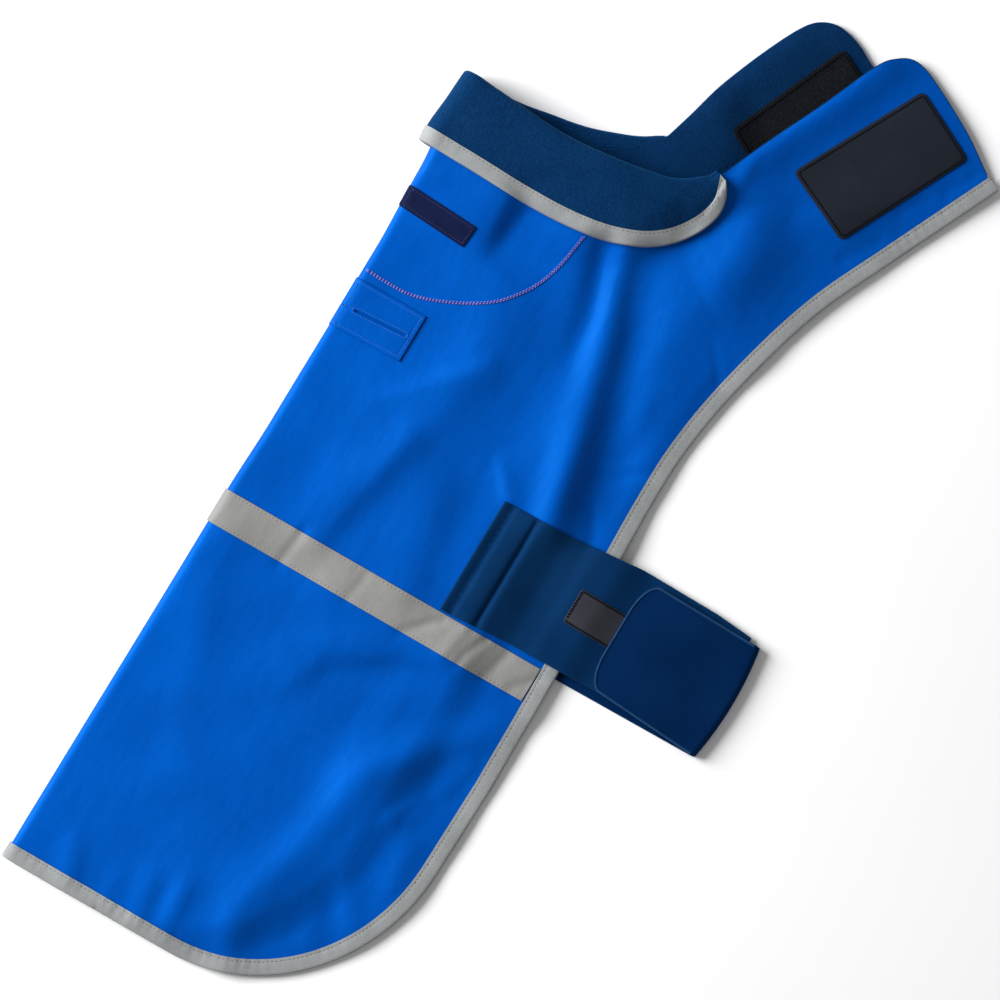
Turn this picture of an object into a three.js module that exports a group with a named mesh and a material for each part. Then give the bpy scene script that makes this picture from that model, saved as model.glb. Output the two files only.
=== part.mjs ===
import * as THREE from "three";

// A winter coat for a large dog, laid on its side and folded along the back, in millimetres.
// u runs across the coat from the fold at the back, and v runs from the tail hem to the neck.
// The cloth is drawn unfolded on a flat sheet: a is u on the near half, which lies on top, and
// minus u on the far half, which lies on the floor. h is how far a face stands out from the
// outer face of the shell, so it points up on the near half and down on the far half.

// Walls and gaps
const SHELL = 1.4;
const LINING = 1.6;
const TRIM = 1.0;
const PATCH = 1.2;
const COLLAR = 2.0;
const STRAP = 2.6;
const GAP = 0.3;
const SEAM = 0.5;

// Sizes of the coat
const BINDING = 11.7;
const BINDING_STEP = 16;
const BINDING_GAP = 0.6;
const RIM = 0.8;
const LINING_INSET = 13.8;
const LINING_LOW = { v: 577, near: 262, far: 205 };
const FOLD_RADIUS = 6;
const FOLD_PARTS = 4;

// Heights of the outer face of the near half, and what lifts either half
const BODY_HEIGHT = 7.0;
const LINED_BODY = 1.7;
const EDGE_HEIGHT = 3.5;
const LINED_EDGE = 1.2;
const HEM_LIFT = 1.8;
const TAPE_LIFT = 1.5;
const COLLAR_LIFT = 6.0;
const STRAP_LIFT = STRAP + GAP;

// The origin, in the middle of the outline
const U_MID = 185.66;
const V_MID = 402.76;

// Limits below which lengths count as nothing
const TINY = 1e-9;
const WELD = 2e-4;

const table = (columns, rows) =>
  rows.map((row) => Object.fromEntries(columns.map((name, i) => [name, row[i]])));

// Round the near half: the bound edge runs from the flap's tip down the belly to the hem
const NEAR_BELLY = [
  [356, 757], [320, 680], [292.9, 620], [275.4, 560], [264.3, 500], [262, 440], [266.5, 305], [268, 215],
];
const FAR_BELLY = [
  [209, 150], [211, 225], [209.5, 305], [205.5, 420], [206, 500], [226, 590], [266, 678], [302, 758],
];
const NEAR_CORNER = { u: 130, v: 150, across: 136.5, along: 148 };
const FAR_CORNER = { u: 73, v: 150, across: 136, along: 148 };
const HEM_AT_FOLD = 0;

// How far the far half's outline is carried on past the fold and hem, and up past the neck
const FAR_BEYOND = { side: -90, low: -90, high: 740 };

// The ends of the chest flaps, from the tip on the belly side to the neck seam
const NEAR_FLAP = [
  [346, 760.5], [320, 778], [300, 789], [283, 797.5], [270, 803], [259, 804.7], [249, 800], [238, 786.7],
  [220, 745], [200, 702], [186, 669],
];
const FAR_FLAP = [
  [270, 772], [236, 786], [220, 794], [203, 798], [190, 794.5], [180, 784], [166.7, 757], [153, 722],
  [145, 692], [139, 671],
];

// The neck seam, with how far the near half gapes open, and how far in that reaches
const NECK_NEAR = table(["u", "v", "gape", "reach"], [
  [0, 621, 8, 105],
  [40, 617, 8.5, 105],
  [80, 616, 8.5, 100],
  [115, 620, 8.5, 95],
  [145, 628, 8, 88],
  [168, 643, 7, 78],
  [184, 666, 6, 62],
  [200, 702, 5.5, 50],
  [220, 745, 4.5, 42],
  [238, 786.7, 3, 36],
]);

// The far neck seam, with how far in the collar lies folded under the far half
const NECK_FAR = table(["u", "v", "reach"], [
  [0, 620.5, 52],
  [40, 620.5, 52],
  [80, 627, 52],
  [106, 640, 50],
  [126, 657, 46],
  [137, 668, 38],
]);

// The largest folds of the near half: a line, half its width, and its height at each end
const FOLDS = table(["u0", "v0", "u1", "v1", "width", "start", "end"], [
  [157, 585, 214, 398, 14, 3.6, 2.0],
  [141, 585, 166, 495, 11, -1.6, -0.6],
  [184, 560, 236, 408, 15, -1.8, -0.8],
  [73, 588, 72, 532, 12, -1.6, -0.4],
  [62, 425, 108, 468, 17, 0.9, 0.9],
  [54, 402, 70, 308, 17, 1.2, 0.8],
  [112, 400, 150, 452, 18, -1.0, -0.6],
  [128, 365, 132, 300, 18, 0.9, 0.4],
  [112, 228, 216, 281, 13, -1.2, -0.9],
  [196, 205, 250, 252, 15, 0.8, 0.8],
  [228, 505, 240, 400, 11, -0.8, -0.5],
  [245, 655, 205, 592, 20, -1.2, -1.0],
]);

// The collar, a row for each section: the neck seam, the roll line and the loose edge, with how
// wide its binding lies there
const COLLAR_NEAR = table(["seamU", "seamV", "rollU", "rollV", "edgeU", "edgeV", "bound"], [
  [16, 619.5, 16, 637, 15, 578.5, 11.5],
  [30, 618, 30, 636, 28.5, 578.5, 11.5],
  [45, 617, 45, 635, 44, 578.3, 11.5],
  [60, 616.5, 60, 634.2, 61, 578, 11.5],
  [76, 616.5, 76, 634.2, 79, 578.2, 11.5],
  [92, 617.5, 92, 635, 97, 578.8, 11.5],
  [108, 619.5, 107.5, 636.8, 116, 580.5, 11.5],
  [122, 622.5, 121, 639, 134, 583.6, 11.5],
  [135, 626, 133, 641, 150, 588.5, 11.5],
  [146, 630, 144, 643, 165, 595.5, 11.5],
  [155, 634.5, 153, 645.7, 178, 605.5, 11.5],
  [163, 640, 160.5, 649, 188, 617.5, 11.5],
  [169.5, 646, 167, 653, 195, 631, 11.2],
  [175, 652.5, 172.5, 657.5, 197.6, 644, 10.5],
  [179, 659, 177, 661.5, 194.5, 656, 9],
  [182.5, 665, 179.6, 666.8, 189.5, 663.5, 6.5],
]);
const COLLAR_FAR = table(["seamU", "seamV", "rollU", "rollV", "edgeU", "edgeV", "bound"], [
  [20, 620, 20, 636.6, 19, 578, 11.5],
  [40, 620.5, 40, 638, 42, 580, 11.5],
  [60, 623, 60, 642, 64, 584, 11.5],
  [80, 627.5, 80, 646, 88, 590, 11.5],
  [97, 636, 98, 651, 111, 597.5, 11.5],
  [111, 645, 113, 657, 129, 608, 11.5],
  [122, 654, 124, 662.5, 143, 622.5, 11.5],
  [130, 662, 132, 667.5, 152, 640, 11],
  [135, 667.5, 137, 670.5, 151, 658, 8.5],
]);
const COLLAR_FOLD = { seamV: 620.5, rollV: 638, edgeV: 578.6, flare: 4.2 };
const ROLL_NEAR = 3.0;
const ROLL_FAR = 2.0;
const FALL_CLEAR = 1.1;

// What lies on the shell
const TAPE = { low: 275, high: 301, nearEnd: 254.3, nearRise: 4.9, farEnd: 195, farRise: -2.2 };
const LABEL = [[1.6, 549], [57, 547], [55.4, 530.3], [1.2, 532.6]];
const LEASH_PATCH = [[1.4, 474.6], [58.5, 475.7], [58.5, 439], [1.6, 436.4]];
const LEASH_SLIT = { from: [10.8, 453.8], to: [52.3, 457], width: 1.2 };
const LOOP_PATCH = { corners: [[275, 790], [326.7, 765], [280, 670], [226, 694]], round: 5 };
const HOOK_PATCH = { corners: [[212, 787], [262, 763], [221, 674], [174, 697]], round: 5 };

// The belly strap: the near strap lies over the near half, and the far strap comes from under the
// far half, folds at its end and closes on top of the near strap
const NEAR_STRAP = [
  [172, 305.8], [182, 306.3], [220, 309.7], [260, 311], [300, 312.4], [369.5, 311],
  [369.5, 400.5], [340, 402.5], [280, 402.3], [260, 400], [220, 395.8], [172, 393.8],
];
const STRAP_CLEAR = 0.4;
const STRAP_OVER_BINDING = { from: 236, to: 248 };
const STRAP_LANDING = { from: 267.5, to: 284, height: STRAP + GAP };
const STRAP_PATCH = { low: 342.5, high: 369, from: 250, to: 296, round: 3 };
const FAR_STRAP = {
  start: 115, bend: 373.6, bulge: 4, bulgeReach: 60, middle: 353, half: 45, end: 285.8, edge: 3,
};
const FAR_STRAP_SIDES = { start: [300.4, 391], bendStart: [308, 397.8], bendEnd: [308.6, 397.6] };
const FAR_STRAP_TIP = { low: 312.6, high: 398, across: 12, along: 25, parts: 5 };
const TOP_LEAF = { bendRadius: 3.2, low: 5.8, patchClear: 7.4, patchEnd: 298, flat: 330, toBend: 345 };
const TOP_LEAF_PUFF = { from: 290, length: 80, height: 2.2 };

const { clamp, lerp, smoothstep: rampUp } = THREE.MathUtils;
const rampDown = (x, from, to) => 1 - rampUp(x, from, to);

const splinePoints = (points, step) => {
  const curve = new THREE.SplineCurve(points.map(([u, v]) => new THREE.Vector2(u, v)));
  return curve.getSpacedPoints(Math.round(curve.getLength() / step)).map((p) => [p.x, p.y]);
};

const cornerPoints = (corner, parts) => {
  const curve = new THREE.EllipseCurve(
    corner.u, corner.v, corner.across, corner.along, 0, -Math.PI / 2, true);
  return curve.getPoints(parts).map((p) => [p.x, p.y]);
};

const mirrored = (points) => points.map(([u, v]) => [-u, v]);

// A closed outline with its corners rounded
const rounded = (corners, radius, parts = 3) => corners.flatMap((corner, i) => {
  const before = corners[(i + corners.length - 1) % corners.length];
  const after = corners[(i + 1) % corners.length];
  const toward = (other) => {
    const length = Math.hypot(other[0] - corner[0], other[1] - corner[1]);
    return [0, 1].map((k) => corner[k] + (radius * (other[k] - corner[k])) / length);
  };
  const [start, end] = [toward(before), toward(after)];
  return Array.from({ length: parts + 1 }, (_, k) => {
    const t = k / parts;
    const weights = [(1 - t) ** 2, 2 * t * (1 - t), t ** 2];
    return [0, 1].map((n) => weights[0] * start[n] + weights[1] * corner[n] + weights[2] * end[n]);
  });
});

// A line moved sideways, to the left of its direction when the distance is positive
const moved = (line, distance) => line.map((point, i) => {
  const before = line[Math.max(i - 1, 0)];
  const after = line[Math.min(i + 1, line.length - 1)];
  const normal = (p, q) => new THREE.Vector2(p[1] - q[1], q[0] - p[0]).normalize();
  const first = normal(before, point);
  const second = normal(point, after);
  const mean = i === 0 ? second : i === line.length - 1 ? first : first.clone().add(second).normalize();
  const reach = distance / (i === 0 || i === line.length - 1 ? 1 : mean.dot(first));
  return [point[0] + mean.x * reach, point[1] + mean.y * reach];
});

// A line with more points, so that none of its stretches is longer than a step
const divided = (line, step) => line.flatMap((point, i) => {
  if (i === line.length - 1) return [point];
  const next = line[i + 1];
  const parts = Math.ceil(Math.hypot(next[0] - point[0], next[1] - point[1]) / step);
  return Array.from({ length: parts }, (_, k) => [0, 1].map((n) => lerp(point[n], next[n], k / parts)));
});

// The nearest place on a line, with its distance and the table's other columns there
const nearest = (rows, u, v) => {
  let best = { distance: Infinity };
  for (let i = 0; i + 1 < rows.length; i += 1) {
    const [p, q] = [rows[i], rows[i + 1]];
    const along = (u - p.u) * (q.u - p.u) + (v - p.v) * (q.v - p.v);
    const t = clamp(along / ((q.u - p.u) ** 2 + (q.v - p.v) ** 2), 0, 1);
    const distance = Math.hypot(u - lerp(p.u, q.u, t), v - lerp(p.v, q.v, t));
    if (distance < best.distance) best = { distance, p, q, t };
  }
  const column = (name) => lerp(best.p[name], best.q[name], best.t);
  return { distance: best.distance, column };
};

const isInside = (outline, u, v) => {
  let inside = false;
  outline.forEach(([u1, v1], i) => {
    const [u0, v0] = outline[(i + outline.length - 1) % outline.length];
    if (v1 > v !== v0 > v && u < ((u0 - u1) * (v - v1)) / (v0 - v1) + u1) inside = !inside;
  });
  return inside;
};

const evenly = (from, to, parts) => Array.from({ length: parts }, (_, i) => lerp(from, to, i / parts));

// Outlines on the unfolded sheet
const foldColumns = [...evenly(-FOLD_RADIUS, FOLD_RADIUS, FOLD_PARTS), FOLD_RADIUS];
const nearBelly = splinePoints(NEAR_BELLY, 24);
const farBelly = splinePoints(FAR_BELLY, 26);
const nearCorner = cornerPoints(NEAR_CORNER, 9);
const farCorner = cornerPoints(FAR_CORNER, 9);
const boundEdge = [
  ...nearBelly,
  ...nearCorner,
  ...[...foldColumns].reverse().map((a) => [a, HEM_AT_FOLD]),
  ...mirrored([...farCorner].reverse()),
  ...mirrored(farBelly.slice(1)),
];
const neckSeam = [
  ...[...COLLAR_FAR].reverse().map(({ seamU, seamV }) => [-seamU, seamV]),
  [-FOLD_RADIUS, COLLAR_FOLD.seamV],
  [FOLD_RADIUS, COLLAR_FOLD.seamV],
  ...COLLAR_NEAR.map(({ seamU, seamV }) => [seamU, seamV]),
];
const shellEdge = moved(boundEdge, -(TRIM + GAP));
const shellOutline = [
  ...shellEdge,
  ...mirrored(FAR_FLAP),
  ...neckSeam,
  ...[...NEAR_FLAP].reverse(),
];

// The far half in u and v, carried past the fold, the hem and the neck, where both halves end alike
const farSupport = [
  [FAR_BEYOND.side, FAR_BEYOND.low],
  [FAR_CORNER.u, FAR_BEYOND.low],
  ...[...farCorner].reverse(),
  ...farBelly.slice(1),
  ...FAR_FLAP,
  [FAR_BEYOND.side, FAR_BEYOND.high],
];
const supportEdge = [...farSupport, farSupport[0]].map(([u, v]) => ({ u, v }));
const farBoundEdge = [[FOLD_RADIUS, HEM_AT_FOLD], ...[...farCorner].reverse(), ...farBelly.slice(1)]
  .map(([u, v]) => ({ u, v }));
const pastFarHalf = (u, v) => {
  const { distance } = nearest(supportEdge, u, v);
  return isInside(farSupport, u, v) ? -distance : distance;
};

// Lifts under the far half, and the height of each half's outer face
const strapLeaf = (u, v) => rampUp(u, 70, 101) * rampUp(v, 256, 281) * rampDown(v, 405, 430);
const farHeight = (u, v) => {
  const neck = nearest(NECK_FAR, u, v);
  const reach = neck.column("reach");
  const lifts = [
    COLLAR_LIFT * rampDown(neck.distance, reach, reach + 34),
    TAPE_LIFT * rampUp(v, 232, 257) * rampDown(v, 305, 330),
    HEM_LIFT * rampDown(nearest(farBoundEdge, u, v).distance, 28, 56),
  ];
  return STRAP_LIFT * strapLeaf(u, v) + Math.cbrt(lifts.reduce((sum, lift) => sum + lift ** 3, 0));
};
const foldHeight = (u, v) => FOLDS.reduce((sum, fold) => {
  const ends = [{ u: fold.u0, v: fold.v0, height: fold.start }, { u: fold.u1, v: fold.v1, height: fold.end }];
  const { distance, column } = nearest(ends, u, v);
  return sum + column("height") * Math.exp(-((distance / fold.width) ** 2));
}, 0);
const nearHeight = (u, v) => {
  const over = rampDown(pastFarHalf(u, v), 4, 30);
  const neck = nearest(NECK_NEAR, u, v);
  const gape = neck.column("gape") * rampDown(neck.distance, 0, neck.column("reach"));
  const edge = EDGE_HEIGHT + STRAP_LIFT * strapLeaf(u, v) + LINED_EDGE * rampUp(v, 540, 575);
  const body = BODY_HEIGHT + LINED_BODY * rampUp(v, 540, 600) + farHeight(u, v);
  return lerp(edge, body, over) + gape + foldHeight(u, v);
};

// The fold along the back strays a little from a straight line
const BACK_LINE = table(["v", "stray"], [
  [0, 0], [300, 1.6], [360, 3], [500, 3.4], [560, 1.4], [600, -1.5], [660, -1.5], [830, -1.5],
]);
const backStray = (v) => {
  const i = Math.max(1, BACK_LINE.findIndex((row) => row.v >= v));
  const [p, q] = [BACK_LINE[i - 1], BACK_LINE[i]];
  return lerp(p.stray, q.stray, rampUp(v, p.v, q.v));
};

const coatPlace = (a, v, h) => {
  const away = Math.abs(a);
  const stray = backStray(v) * rampDown(away, FOLD_RADIUS, 70);
  const u = Math.max(away, FOLD_RADIUS) + stray;
  if (a >= FOLD_RADIUS) return [u, v, nearHeight(u, v) + h];
  if (a <= -FOLD_RADIUS) return [u, v, farHeight(u, v) - h];
  const turn = ((a / FOLD_RADIUS) * Math.PI) / 2;
  const [top, bottom] = [nearHeight(u, v), farHeight(u, v)];
  return [
    u - (FOLD_RADIUS + h) * Math.cos(turn),
    v,
    (top + bottom) / 2 + ((top - bottom) / 2 + h) * Math.sin(turn),
  ];
};

// Turns a list of faces into a closed mesh with its faces pointing out
const closedGeometry = (vertices, faces) => {
  let volume = 0;
  for (const face of faces) {
    const [p, q, r] = face.map((i) => new THREE.Vector3(...vertices[i]));
    volume += p.dot(q.cross(r));
  }
  const geometry = new THREE.BufferGeometry();
  geometry.setAttribute("position", new THREE.Float32BufferAttribute(vertices.flat(), 3));
  geometry.setIndex(faces.flatMap(([p, q, r]) => (volume > 0 ? [p, q, r] : [p, r, q])));
  geometry.computeVertexNormals();
  return geometry;
};

// A sheet of cloth: a grid of flat triangles, each corner placed in space at any height h.
// Pieces cut from one sheet share its triangles, so those at different heights stay parallel.
class Sheet {
  constructor(columns, rows, place) {
    this.columns = columns;
    this.rows = rows;
    this.corner = columns.map((a) => rows.map((v) => {
      const low = place(a, v, 0);
      const high = place(a, v, 1);
      return { low, rise: high.map((value, k) => value - low[k]) };
    }));
  }

  place(a, v, h) {
    const cell = (lines, value) => {
      const next = lines.findIndex((line) => line > value);
      return next === -1 ? lines.length - 2 : Math.max(0, next - 1);
    };
    const [i, j] = [cell(this.columns, a), cell(this.rows, v)];
    const s = (a - this.columns[i]) / (this.columns[i + 1] - this.columns[i]);
    const t = (v - this.rows[j]) / (this.rows[j + 1] - this.rows[j]);
    const weights = s + t <= 1
      ? [[i, j, 1 - s - t], [i + 1, j, s], [i, j + 1, t]]
      : [[i + 1, j + 1, s + t - 1], [i, j + 1, 1 - s], [i + 1, j, 1 - t]];
    return [0, 1, 2].map((k) => weights.reduce((sum, [column, row, weight]) => {
      const { low, rise } = this.corner[column][row];
      return sum + weight * (low[k] + rise[k] * h);
    }, 0));
  }

  triangles() {
    const list = [];
    for (let i = 0; i + 1 < this.columns.length; i += 1) {
      for (let j = 0; j + 1 < this.rows.length; j += 1) {
        const [a0, a1] = [this.columns[i], this.columns[i + 1]];
        const [v0, v1] = [this.rows[j], this.rows[j + 1]];
        list.push([[a0, v0], [a1, v0], [a0, v1]], [[a1, v1], [a0, v1], [a1, v0]]);
      }
    }
    return list;
  }

  // Each region of a piece has an outline and the spans of h that its cloth fills
  solid(regions) {
    const levels = [...new Set(regions.flatMap(({ spans }) => spans.flat()))].sort((p, q) => p - q);
    const layers = levels.slice(1).map((top, i) => (levels[i] + top) / 2);
    const flat = [];
    const numbers = new Map();
    const number = ([a, v]) => {
      const key = `${a.toFixed(4)},${v.toFixed(4)}`.replaceAll("-0.0000", "0.0000");
      if (!numbers.has(key)) {
        numbers.set(key, flat.length);
        flat.push([a, v]);
      }
      return numbers.get(key);
    };
    const edges = new Map();
    const faces = [];
    const at = (vertex, level) => vertex * levels.length + level;
    const grid = this.triangles();
    for (const { outline: drawn, spans } of regions) {
      const contour = drawn.map(([a, v]) => new THREE.Vector2(a, v));
      const outline = THREE.ShapeUtils.area(contour) > 0 ? drawn : [...drawn].reverse();
      const filled = layers.map((h) => spans.some(([low, high]) => h > low && h < high));
      for (const triangle of grid) {
        for (const [p, q, r] of cutTriangle(triangle, outline)) {
          const [i, j, k] = [number(p), number(q), number(r)];
          if (i === j || j === k || k === i) continue;
          levels.forEach((_, level) => {
            const [below, above] = [filled[level - 1] ?? false, filled[level] ?? false];
            if (below && !above) faces.push([at(i, level), at(j, level), at(k, level)]);
            if (above && !below) faces.push([at(i, level), at(k, level), at(j, level)]);
          });
          for (const [from, to] of [[i, j], [j, k], [k, i]]) edges.set(`${from},${to}`, filled);
        }
      }
    }
    for (const [edge, filled] of edges) {
      const [from, to] = edge.split(",").map(Number);
      const beyond = edges.get(`${to},${from}`) ?? [];
      filled.forEach((full, level) => {
        if (!full || beyond[level]) return;
        faces.push([at(from, level), at(to, level), at(to, level + 1)]);
        faces.push([at(from, level), at(to, level + 1), at(from, level + 1)]);
      });
    }
    const vertices = flat.flatMap(([a, v]) => levels.map((h) => this.place(a, v, h)));
    const used = [...new Set(faces.flat())];
    const renamed = new Map(used.map((old, i) => [old, i]));
    return closedGeometry(used.map((i) => vertices[i]), faces.map((face) => face.map((i) => renamed.get(i))));
  }
}

// How far along a stretch from p to q lies inside a triangle, as two shares of its length
const shareInside = (p, q, triangle) => {
  let [start, end] = [0, 1];
  for (let side = 0; side < 3; side += 1) {
    const [from, to] = [triangle[side], triangle[(side + 1) % 3]];
    const offset = ([a, v]) => (to[0] - from[0]) * (v - from[1]) - (to[1] - from[1]) * (a - from[0]);
    const [d0, d1] = [offset(p), offset(q)];
    if (d0 < 0 && d1 < 0) return null;
    if (d0 < 0) start = Math.max(start, d0 / (d0 - d1));
    if (d1 < 0) end = Math.min(end, d0 / (d0 - d1));
  }
  return end - start > TINY ? [start, end] : null;
};

// How far round a triangle a point on its border lies: side 0, 1 or 2, and the share of that side
const placeRound = (point, triangle) => {
  const sides = [0, 1, 2].map((side) => {
    const [from, to] = [triangle[side], triangle[(side + 1) % 3]];
    const [da, dv] = [to[0] - from[0], to[1] - from[1]];
    const length = Math.hypot(da, dv);
    const off = Math.abs(da * (point[1] - from[1]) - dv * (point[0] - from[0])) / length;
    const share = ((point[0] - from[0]) * da + (point[1] - from[1]) * dv) / length ** 2;
    return { off, round: side + clamp(share, 0, 1) };
  });
  return sides.reduce((best, side) => (side.off < best.off ? side : best)).round % 3;
};

// The parts of a triangle that lie inside an outline. The outline's stretches inside the
// triangle are joined along its border, with the inside always on their left.
const shapesInside = (triangle, outline) => {
  const isIn = (point) => shareInside(point, [point[0] + 1e-3, point[1]], triangle) !== null;
  const first = outline.findIndex((point) => !isIn(point));
  if (first === -1) return [outline];
  const chains = [];
  let chain = null;
  const close = () => {
    if (chain) chains.push(chain);
    chain = null;
  };
  outline.forEach((_, i) => {
    const p = outline[(first + i) % outline.length];
    const q = outline[(first + i + 1) % outline.length];
    const share = shareInside(p, q, triangle);
    const at = (t) => [lerp(p[0], q[0], t), lerp(p[1], q[1], t)];
    if (!share || share[0] > TINY) close();
    if (!share) return;
    chain = chain ?? [at(share[0])];
    chain.push(at(share[1]));
    if (share[1] < 1 - TINY) close();
  });
  close();
  if (chains.length === 0) {
    const middle = [0, 1].map((k) => (triangle[0][k] + triangle[1][k] + triangle[2][k]) / 3);
    return isInside(outline, ...middle) ? [triangle] : [];
  }
  const left = chains.map((points) => ({
    points,
    enter: placeRound(points[0], triangle),
    leave: placeRound(points[points.length - 1], triangle),
  }));
  const shapes = [];
  while (left.length > 0) {
    const start = left.pop();
    const shape = [...start.points];
    let leave = start.leave;
    for (;;) {
      const ahead = ({ enter }) => (enter - leave + 3) % 3;
      const next = [...left, start].reduce((best, other) => (ahead(other) < ahead(best) ? other : best));
      const distance = ahead(next);
      for (let corner = Math.floor(leave) + 1; corner < leave + distance; corner += 1) {
        shape.push(triangle[corner % 3]);
      }
      if (next === start) break;
      shape.push(...next.points);
      leave = next.leave;
      left.splice(left.indexOf(next), 1);
    }
    shapes.push(shape);
  }
  return shapes;
};

const cutTriangle = (triangle, outline) => shapesInside(triangle, outline).flatMap((shape) => {
  const same = (p, q) => Math.abs(p[0] - q[0]) < WELD && Math.abs(p[1] - q[1]) < WELD;
  const piece = shape.filter((point, i) => !same(point, shape[(i + shape.length - 1) % shape.length]));
  if (piece.length < 3) return [];
  const contour = piece.map(([a, v]) => new THREE.Vector2(a, v));
  return THREE.ShapeUtils.triangulateShape(contour, []).map((face) => face.map((i) => piece[i]));
});

// A thick ribbon through sections, each with as many points on its outer face as on its inner one.
// A folded ribbon has both its leaves split along the same lines.
const ribbon = (sections, folded = false) => {
  const across = sections[0].outer.length;
  const vertices = sections.flatMap(({ outer, inner }) => [...outer, ...inner]);
  const outer = (j, k) => j * 2 * across + k;
  const inner = (j, k) => j * 2 * across + across + k;
  const faces = [];
  const quad = (p, q, r, s, turned = false) =>
    faces.push(...(turned ? [[p, q, s], [q, r, s]] : [[p, q, r], [p, r, s]]));
  for (let j = 0; j + 1 < sections.length; j += 1) {
    for (let k = 0; k + 1 < across; k += 1) {
      const turned = folded && k > (across - 1) / 2;
      quad(outer(j, k), outer(j + 1, k), outer(j + 1, k + 1), outer(j, k + 1), turned);
      quad(inner(j, k), inner(j, k + 1), inner(j + 1, k + 1), inner(j + 1, k), turned);
    }
    quad(outer(j, 0), inner(j, 0), inner(j + 1, 0), outer(j + 1, 0));
    const last = across - 1;
    quad(outer(j, last), outer(j + 1, last), inner(j + 1, last), inner(j, last));
  }
  for (let k = 0; k + 1 < across; k += 1) {
    quad(outer(0, k), outer(0, k + 1), inner(0, k + 1), inner(0, k));
    const j = sections.length - 1;
    quad(outer(j, k), inner(j, k), inner(j, k + 1), outer(j, k + 1));
  }
  return closedGeometry(vertices, faces);
};

// The coat's own sheet
const coatColumns = [
  ...evenly(-330.3, -213.5, 4),
  ...evenly(-213.5, -150, 4),
  ...evenly(-150, -FOLD_RADIUS, 6),
  ...foldColumns.slice(0, -1),
  ...evenly(FOLD_RADIUS, 126.4, 7),
  ...evenly(126.4, 224.7, 8),
  ...evenly(224.7, 384.1, 7),
  384.1,
];
const coatRows = [
  ...evenly(-7.3, 282.2, 12),
  ...evenly(282.2, 566.3, 14),
  ...evenly(566.3, 676.1, 7),
  ...evenly(676.1, 812.2, 6),
  812.2,
];
const coat = new Sheet(coatColumns, coatRows, coatPlace);

// Shell, lining and trims
const TRIM_SPAN = [GAP, GAP + TRIM];
const LINING_SPAN = [-SHELL - GAP - LINING, -SHELL - GAP];
const shellGeometry = () => coat.solid([{ outline: shellOutline, spans: [[-SHELL, 0]] }]);

const liningGeometry = () => {
  const inset = moved(boundEdge, -LINING_INSET).filter(([, v]) => v > LINING_LOW.v + 4);
  const outline = [
    ...inset.filter(([a]) => a > 0),
    [LINING_LOW.near, LINING_LOW.v],
    [-LINING_LOW.far, LINING_LOW.v],
    ...inset.filter(([a]) => a < 0),
    ...moved(mirrored(FAR_FLAP), RIM).slice(1),
    ...neckSeam,
    ...moved(NEAR_FLAP, -RIM).slice(1).reverse(),
  ];
  return coat.solid([{ outline, spans: [LINING_SPAN] }]);
};

// Binding folded round the edge of the shell, a section at each point of the edge
const bindingGeometry = () => {
  const edge = divided(boundEdge, BINDING_STEP);
  const [fold, hollow, inner] = [edge, moved(edge, -TRIM), moved(edge, -BINDING)];
  const [top, low] = [BINDING_GAP, -SHELL - BINDING_GAP];
  return ribbon(edge.map((_, i) => ({
    outer: [
      coat.place(...inner[i], top + TRIM),
      coat.place(...fold[i], top + TRIM),
      coat.place(...fold[i], low - TRIM),
      coat.place(...inner[i], low - TRIM),
    ],
    inner: [
      coat.place(...inner[i], top),
      coat.place(...hollow[i], top),
      coat.place(...hollow[i], low),
      coat.place(...inner[i], low),
    ],
  })), true);
};

const tapeGeometry = () => {
  const outline = [
    [TAPE.nearEnd, TAPE.low + TAPE.nearRise],
    [TAPE.nearEnd, TAPE.high + TAPE.nearRise],
    [0, TAPE.high],
    [-TAPE.farEnd, TAPE.high + TAPE.farRise],
    [-TAPE.farEnd, TAPE.low + TAPE.farRise],
    [0, TAPE.low],
  ];
  return coat.solid([{ outline, spans: [TRIM_SPAN] }]);
};

const patchOn = (sheet, outline, low, thickness) =>
  sheet.solid([{ outline, spans: [[low, low + thickness]] }]);

// The leash patch in two halves that join left and right of its slit
const leashPatchGeometry = () => {
  const [p, q] = [LEASH_SLIT.from, LEASH_SLIT.to];
  const half = LEASH_SLIT.width / 2;
  const slope = (q[1] - p[1]) / (q[0] - p[0]);
  const onSlit = (a) => [a, p[1] + slope * (a - p[0])];
  const [topLeft, topRight, lowRight, lowLeft] = LEASH_PATCH;
  const [left, right] = [onSlit(lerp(topLeft[0], lowLeft[0], 0.5)), onSlit(topRight[0])];
  const side = (height) => [
    right,
    [q[0] + half, q[1]],
    [q[0], q[1] + height],
    [p[0], p[1] + height],
    [p[0] - half, p[1]],
    left,
  ];
  return coat.solid([
    { outline: [topLeft, topRight, ...side(half)], spans: [TRIM_SPAN] },
    { outline: [lowLeft, lowRight, ...side(-half)], spans: [TRIM_SPAN] },
  ]);
};

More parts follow.
